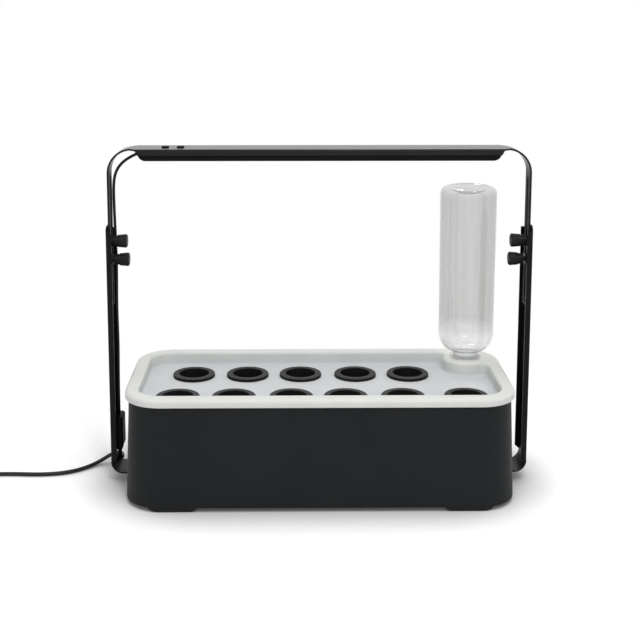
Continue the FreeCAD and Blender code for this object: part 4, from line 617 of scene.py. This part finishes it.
# Socket box
# Small black box screwed inside the left leg; the lamp cable goes in at its top
# and the lead's plug in at its bottom.
dress(housing_plastic, "socket_box", "dc_jack")
dress(blackened_steel, "socket_screws")

# Floor and light
# White floor without an edge, shaded close to the garden, in a white room. A
# large soft light and a small one shine from the front, a faint one from behind.
FLOOR_HALF = 12
SHADE_REACH = 0.072
SHADED_AT = 0.40
SHADED = (0.42, 0.42, 0.412)
OPEN_AT = 0.92
OPEN_FLOOR = (1.15, 1.15, 1.143)
LIT_SHARE = 0.94
FADE_OVAL = (0.55, 1, 1)
FADE_START = 0.13
FADE_END = 0.46
ROOM_LOW = 0.34
ROOM_OVERHEAD = 0.80


def seen_rays(material):
    """1 for the rays that show the backdrop: from the camera, off gloss or through clear plastic."""
    path = add_node(material, "ShaderNodeLightPath")
    share = path.outputs["Is Camera Ray"]
    for ray in ("Is Glossy Ray", "Is Transmission Ray"):
        either = add_node(material, "ShaderNodeMath")
        either.operation = "MAXIMUM"
        join(material, share, either.inputs[0])
        join(material, path.outputs[ray], either.inputs[1])
        share = either.outputs["Value"]
    return share


def mix_shaders(material, first, second, **share):
    """Mix of two shaders, with a plain share or with its Fac left to be linked."""
    mix = add_node(material, "ShaderNodeMixShader", **share)
    join(material, first, mix.inputs[1])
    join(material, second, mix.inputs[2])
    return mix


floor_mesh = bpy.data.meshes.new("floor")
floor_corners = [(x * FLOOR_HALF, y * FLOOR_HALF, 0) for x, y in ((-1, -1), (1, -1), (1, 1), (-1, 1))]
floor_mesh.from_pydata(floor_corners, [], [(0, 1, 2, 3)])
floor = bpy.data.objects.new("floor", floor_mesh)
bpy.context.scene.collection.objects.link(floor)
floor_white = bpy.data.materials.new("floor_white")
floor_white.use_nodes = True
floor_white.node_tree.nodes.clear()
far_white = add_node(floor_white, "ShaderNodeEmission", Color=(1, 1, 1, 1), Strength=1.0)
near_white = add_node(floor_white, "ShaderNodeEmission", Color=(1, 1, 0.99, 1), Strength=1.0)
lit = add_node(floor_white, "ShaderNodeBsdfDiffuse")
closeness = add_node(floor_white, "ShaderNodeAmbientOcclusion", Distance=SHADE_REACH)
closeness.samples = 24
by_closeness = add_ramp(floor_white, closeness.outputs["AO"], (SHADED_AT, SHADED), (OPEN_AT, OPEN_FLOOR))
join(floor_white, by_closeness, lit.inputs["Color"])
plain = add_node(floor_white, "ShaderNodeBsdfDiffuse", Color=(0.8, 0.8, 0.8, 1))
where = add_node(floor_white, "ShaderNodeTexCoord")
oval = add_node(floor_white, "ShaderNodeVectorMath")
oval.operation = "MULTIPLY"
oval.inputs[1].default_value = FADE_OVAL
distance = add_node(floor_white, "ShaderNodeVectorMath")
distance.operation = "LENGTH"
join(floor_white, where.outputs["Object"], oval.inputs[0])
join(floor_white, oval.outputs["Vector"], distance.inputs[0])
near = mix_shaders(floor_white, near_white.outputs["Emission"], lit.outputs["BSDF"], Fac=LIT_SHARE)
by_distance = mix_shaders(floor_white, near.outputs["Shader"], far_white.outputs["Emission"])
fade = eased(floor_white, distance.outputs["Value"], FADE_START, FADE_END)
join(floor_white, fade, by_distance.inputs["Fac"])
by_ray = mix_shaders(floor_white, plain.outputs["BSDF"], by_distance.outputs["Shader"])
join(floor_white, seen_rays(floor_white), by_ray.inputs["Fac"])
out = add_node(floor_white, "ShaderNodeOutputMaterial")
join(floor_white, by_ray.outputs["Shader"], out.inputs["Surface"])
floor_mesh.materials.append(floor_white)

world = bpy.data.worlds.new("room")
bpy.context.scene.world = world
world.use_nodes = True
world.node_tree.nodes.clear()
room = add_node(world, "ShaderNodeBackground", Color=(1, 1, 1, 1))
backdrop = add_node(world, "ShaderNodeBackground", Color=(1, 1, 1, 1), Strength=1.0)
direction = add_node(world, "ShaderNodeTexCoord")
apart = add_node(world, "ShaderNodeSeparateXYZ")
overhead = add_node(world, "ShaderNodeMapRange", From_Min=-0.1, From_Max=0.9, To_Min=ROOM_LOW,
                    To_Max=ROOM_OVERHEAD)
join(world, direction.outputs["Generated"], apart.inputs["Vector"])
join(world, apart.outputs["Z"], overhead.inputs["Value"])
join(world, overhead.outputs["Result"], room.inputs["Strength"])
mix = mix_shaders(world, room.outputs["Background"], backdrop.outputs["Background"])
join(world, seen_rays(world), mix.inputs["Fac"])
out = add_node(world, "ShaderNodeOutputWorld")
join(world, mix.outputs["Shader"], out.inputs["Surface"])

for name, width, power, place, tilt, turn in (
        ("soft_light", 2.2, 20.0, (0.5, -1.3, 2.4), 28, 18),
        ("small_light", 0.26, 5.5, (0.14, -1.0, 1.5), 36, 0),
        ("back_light", 0.2, 1.5, (0.18, 1.5, 1.5), -45, 0)):
    light_data = bpy.data.lights.new(name, "AREA")
    light_data.shape = "SQUARE"
    light_data.size = width
    light_data.energy = power
    lamp_object = bpy.data.objects.new(name, light_data)
    lamp_object.location = place
    lamp_object.rotation_euler = (math.radians(tilt), 0, math.radians(turn))
    bpy.context.scene.collection.objects.link(lamp_object)

bpy.context.scene.view_settings.view_transform = "Standard"
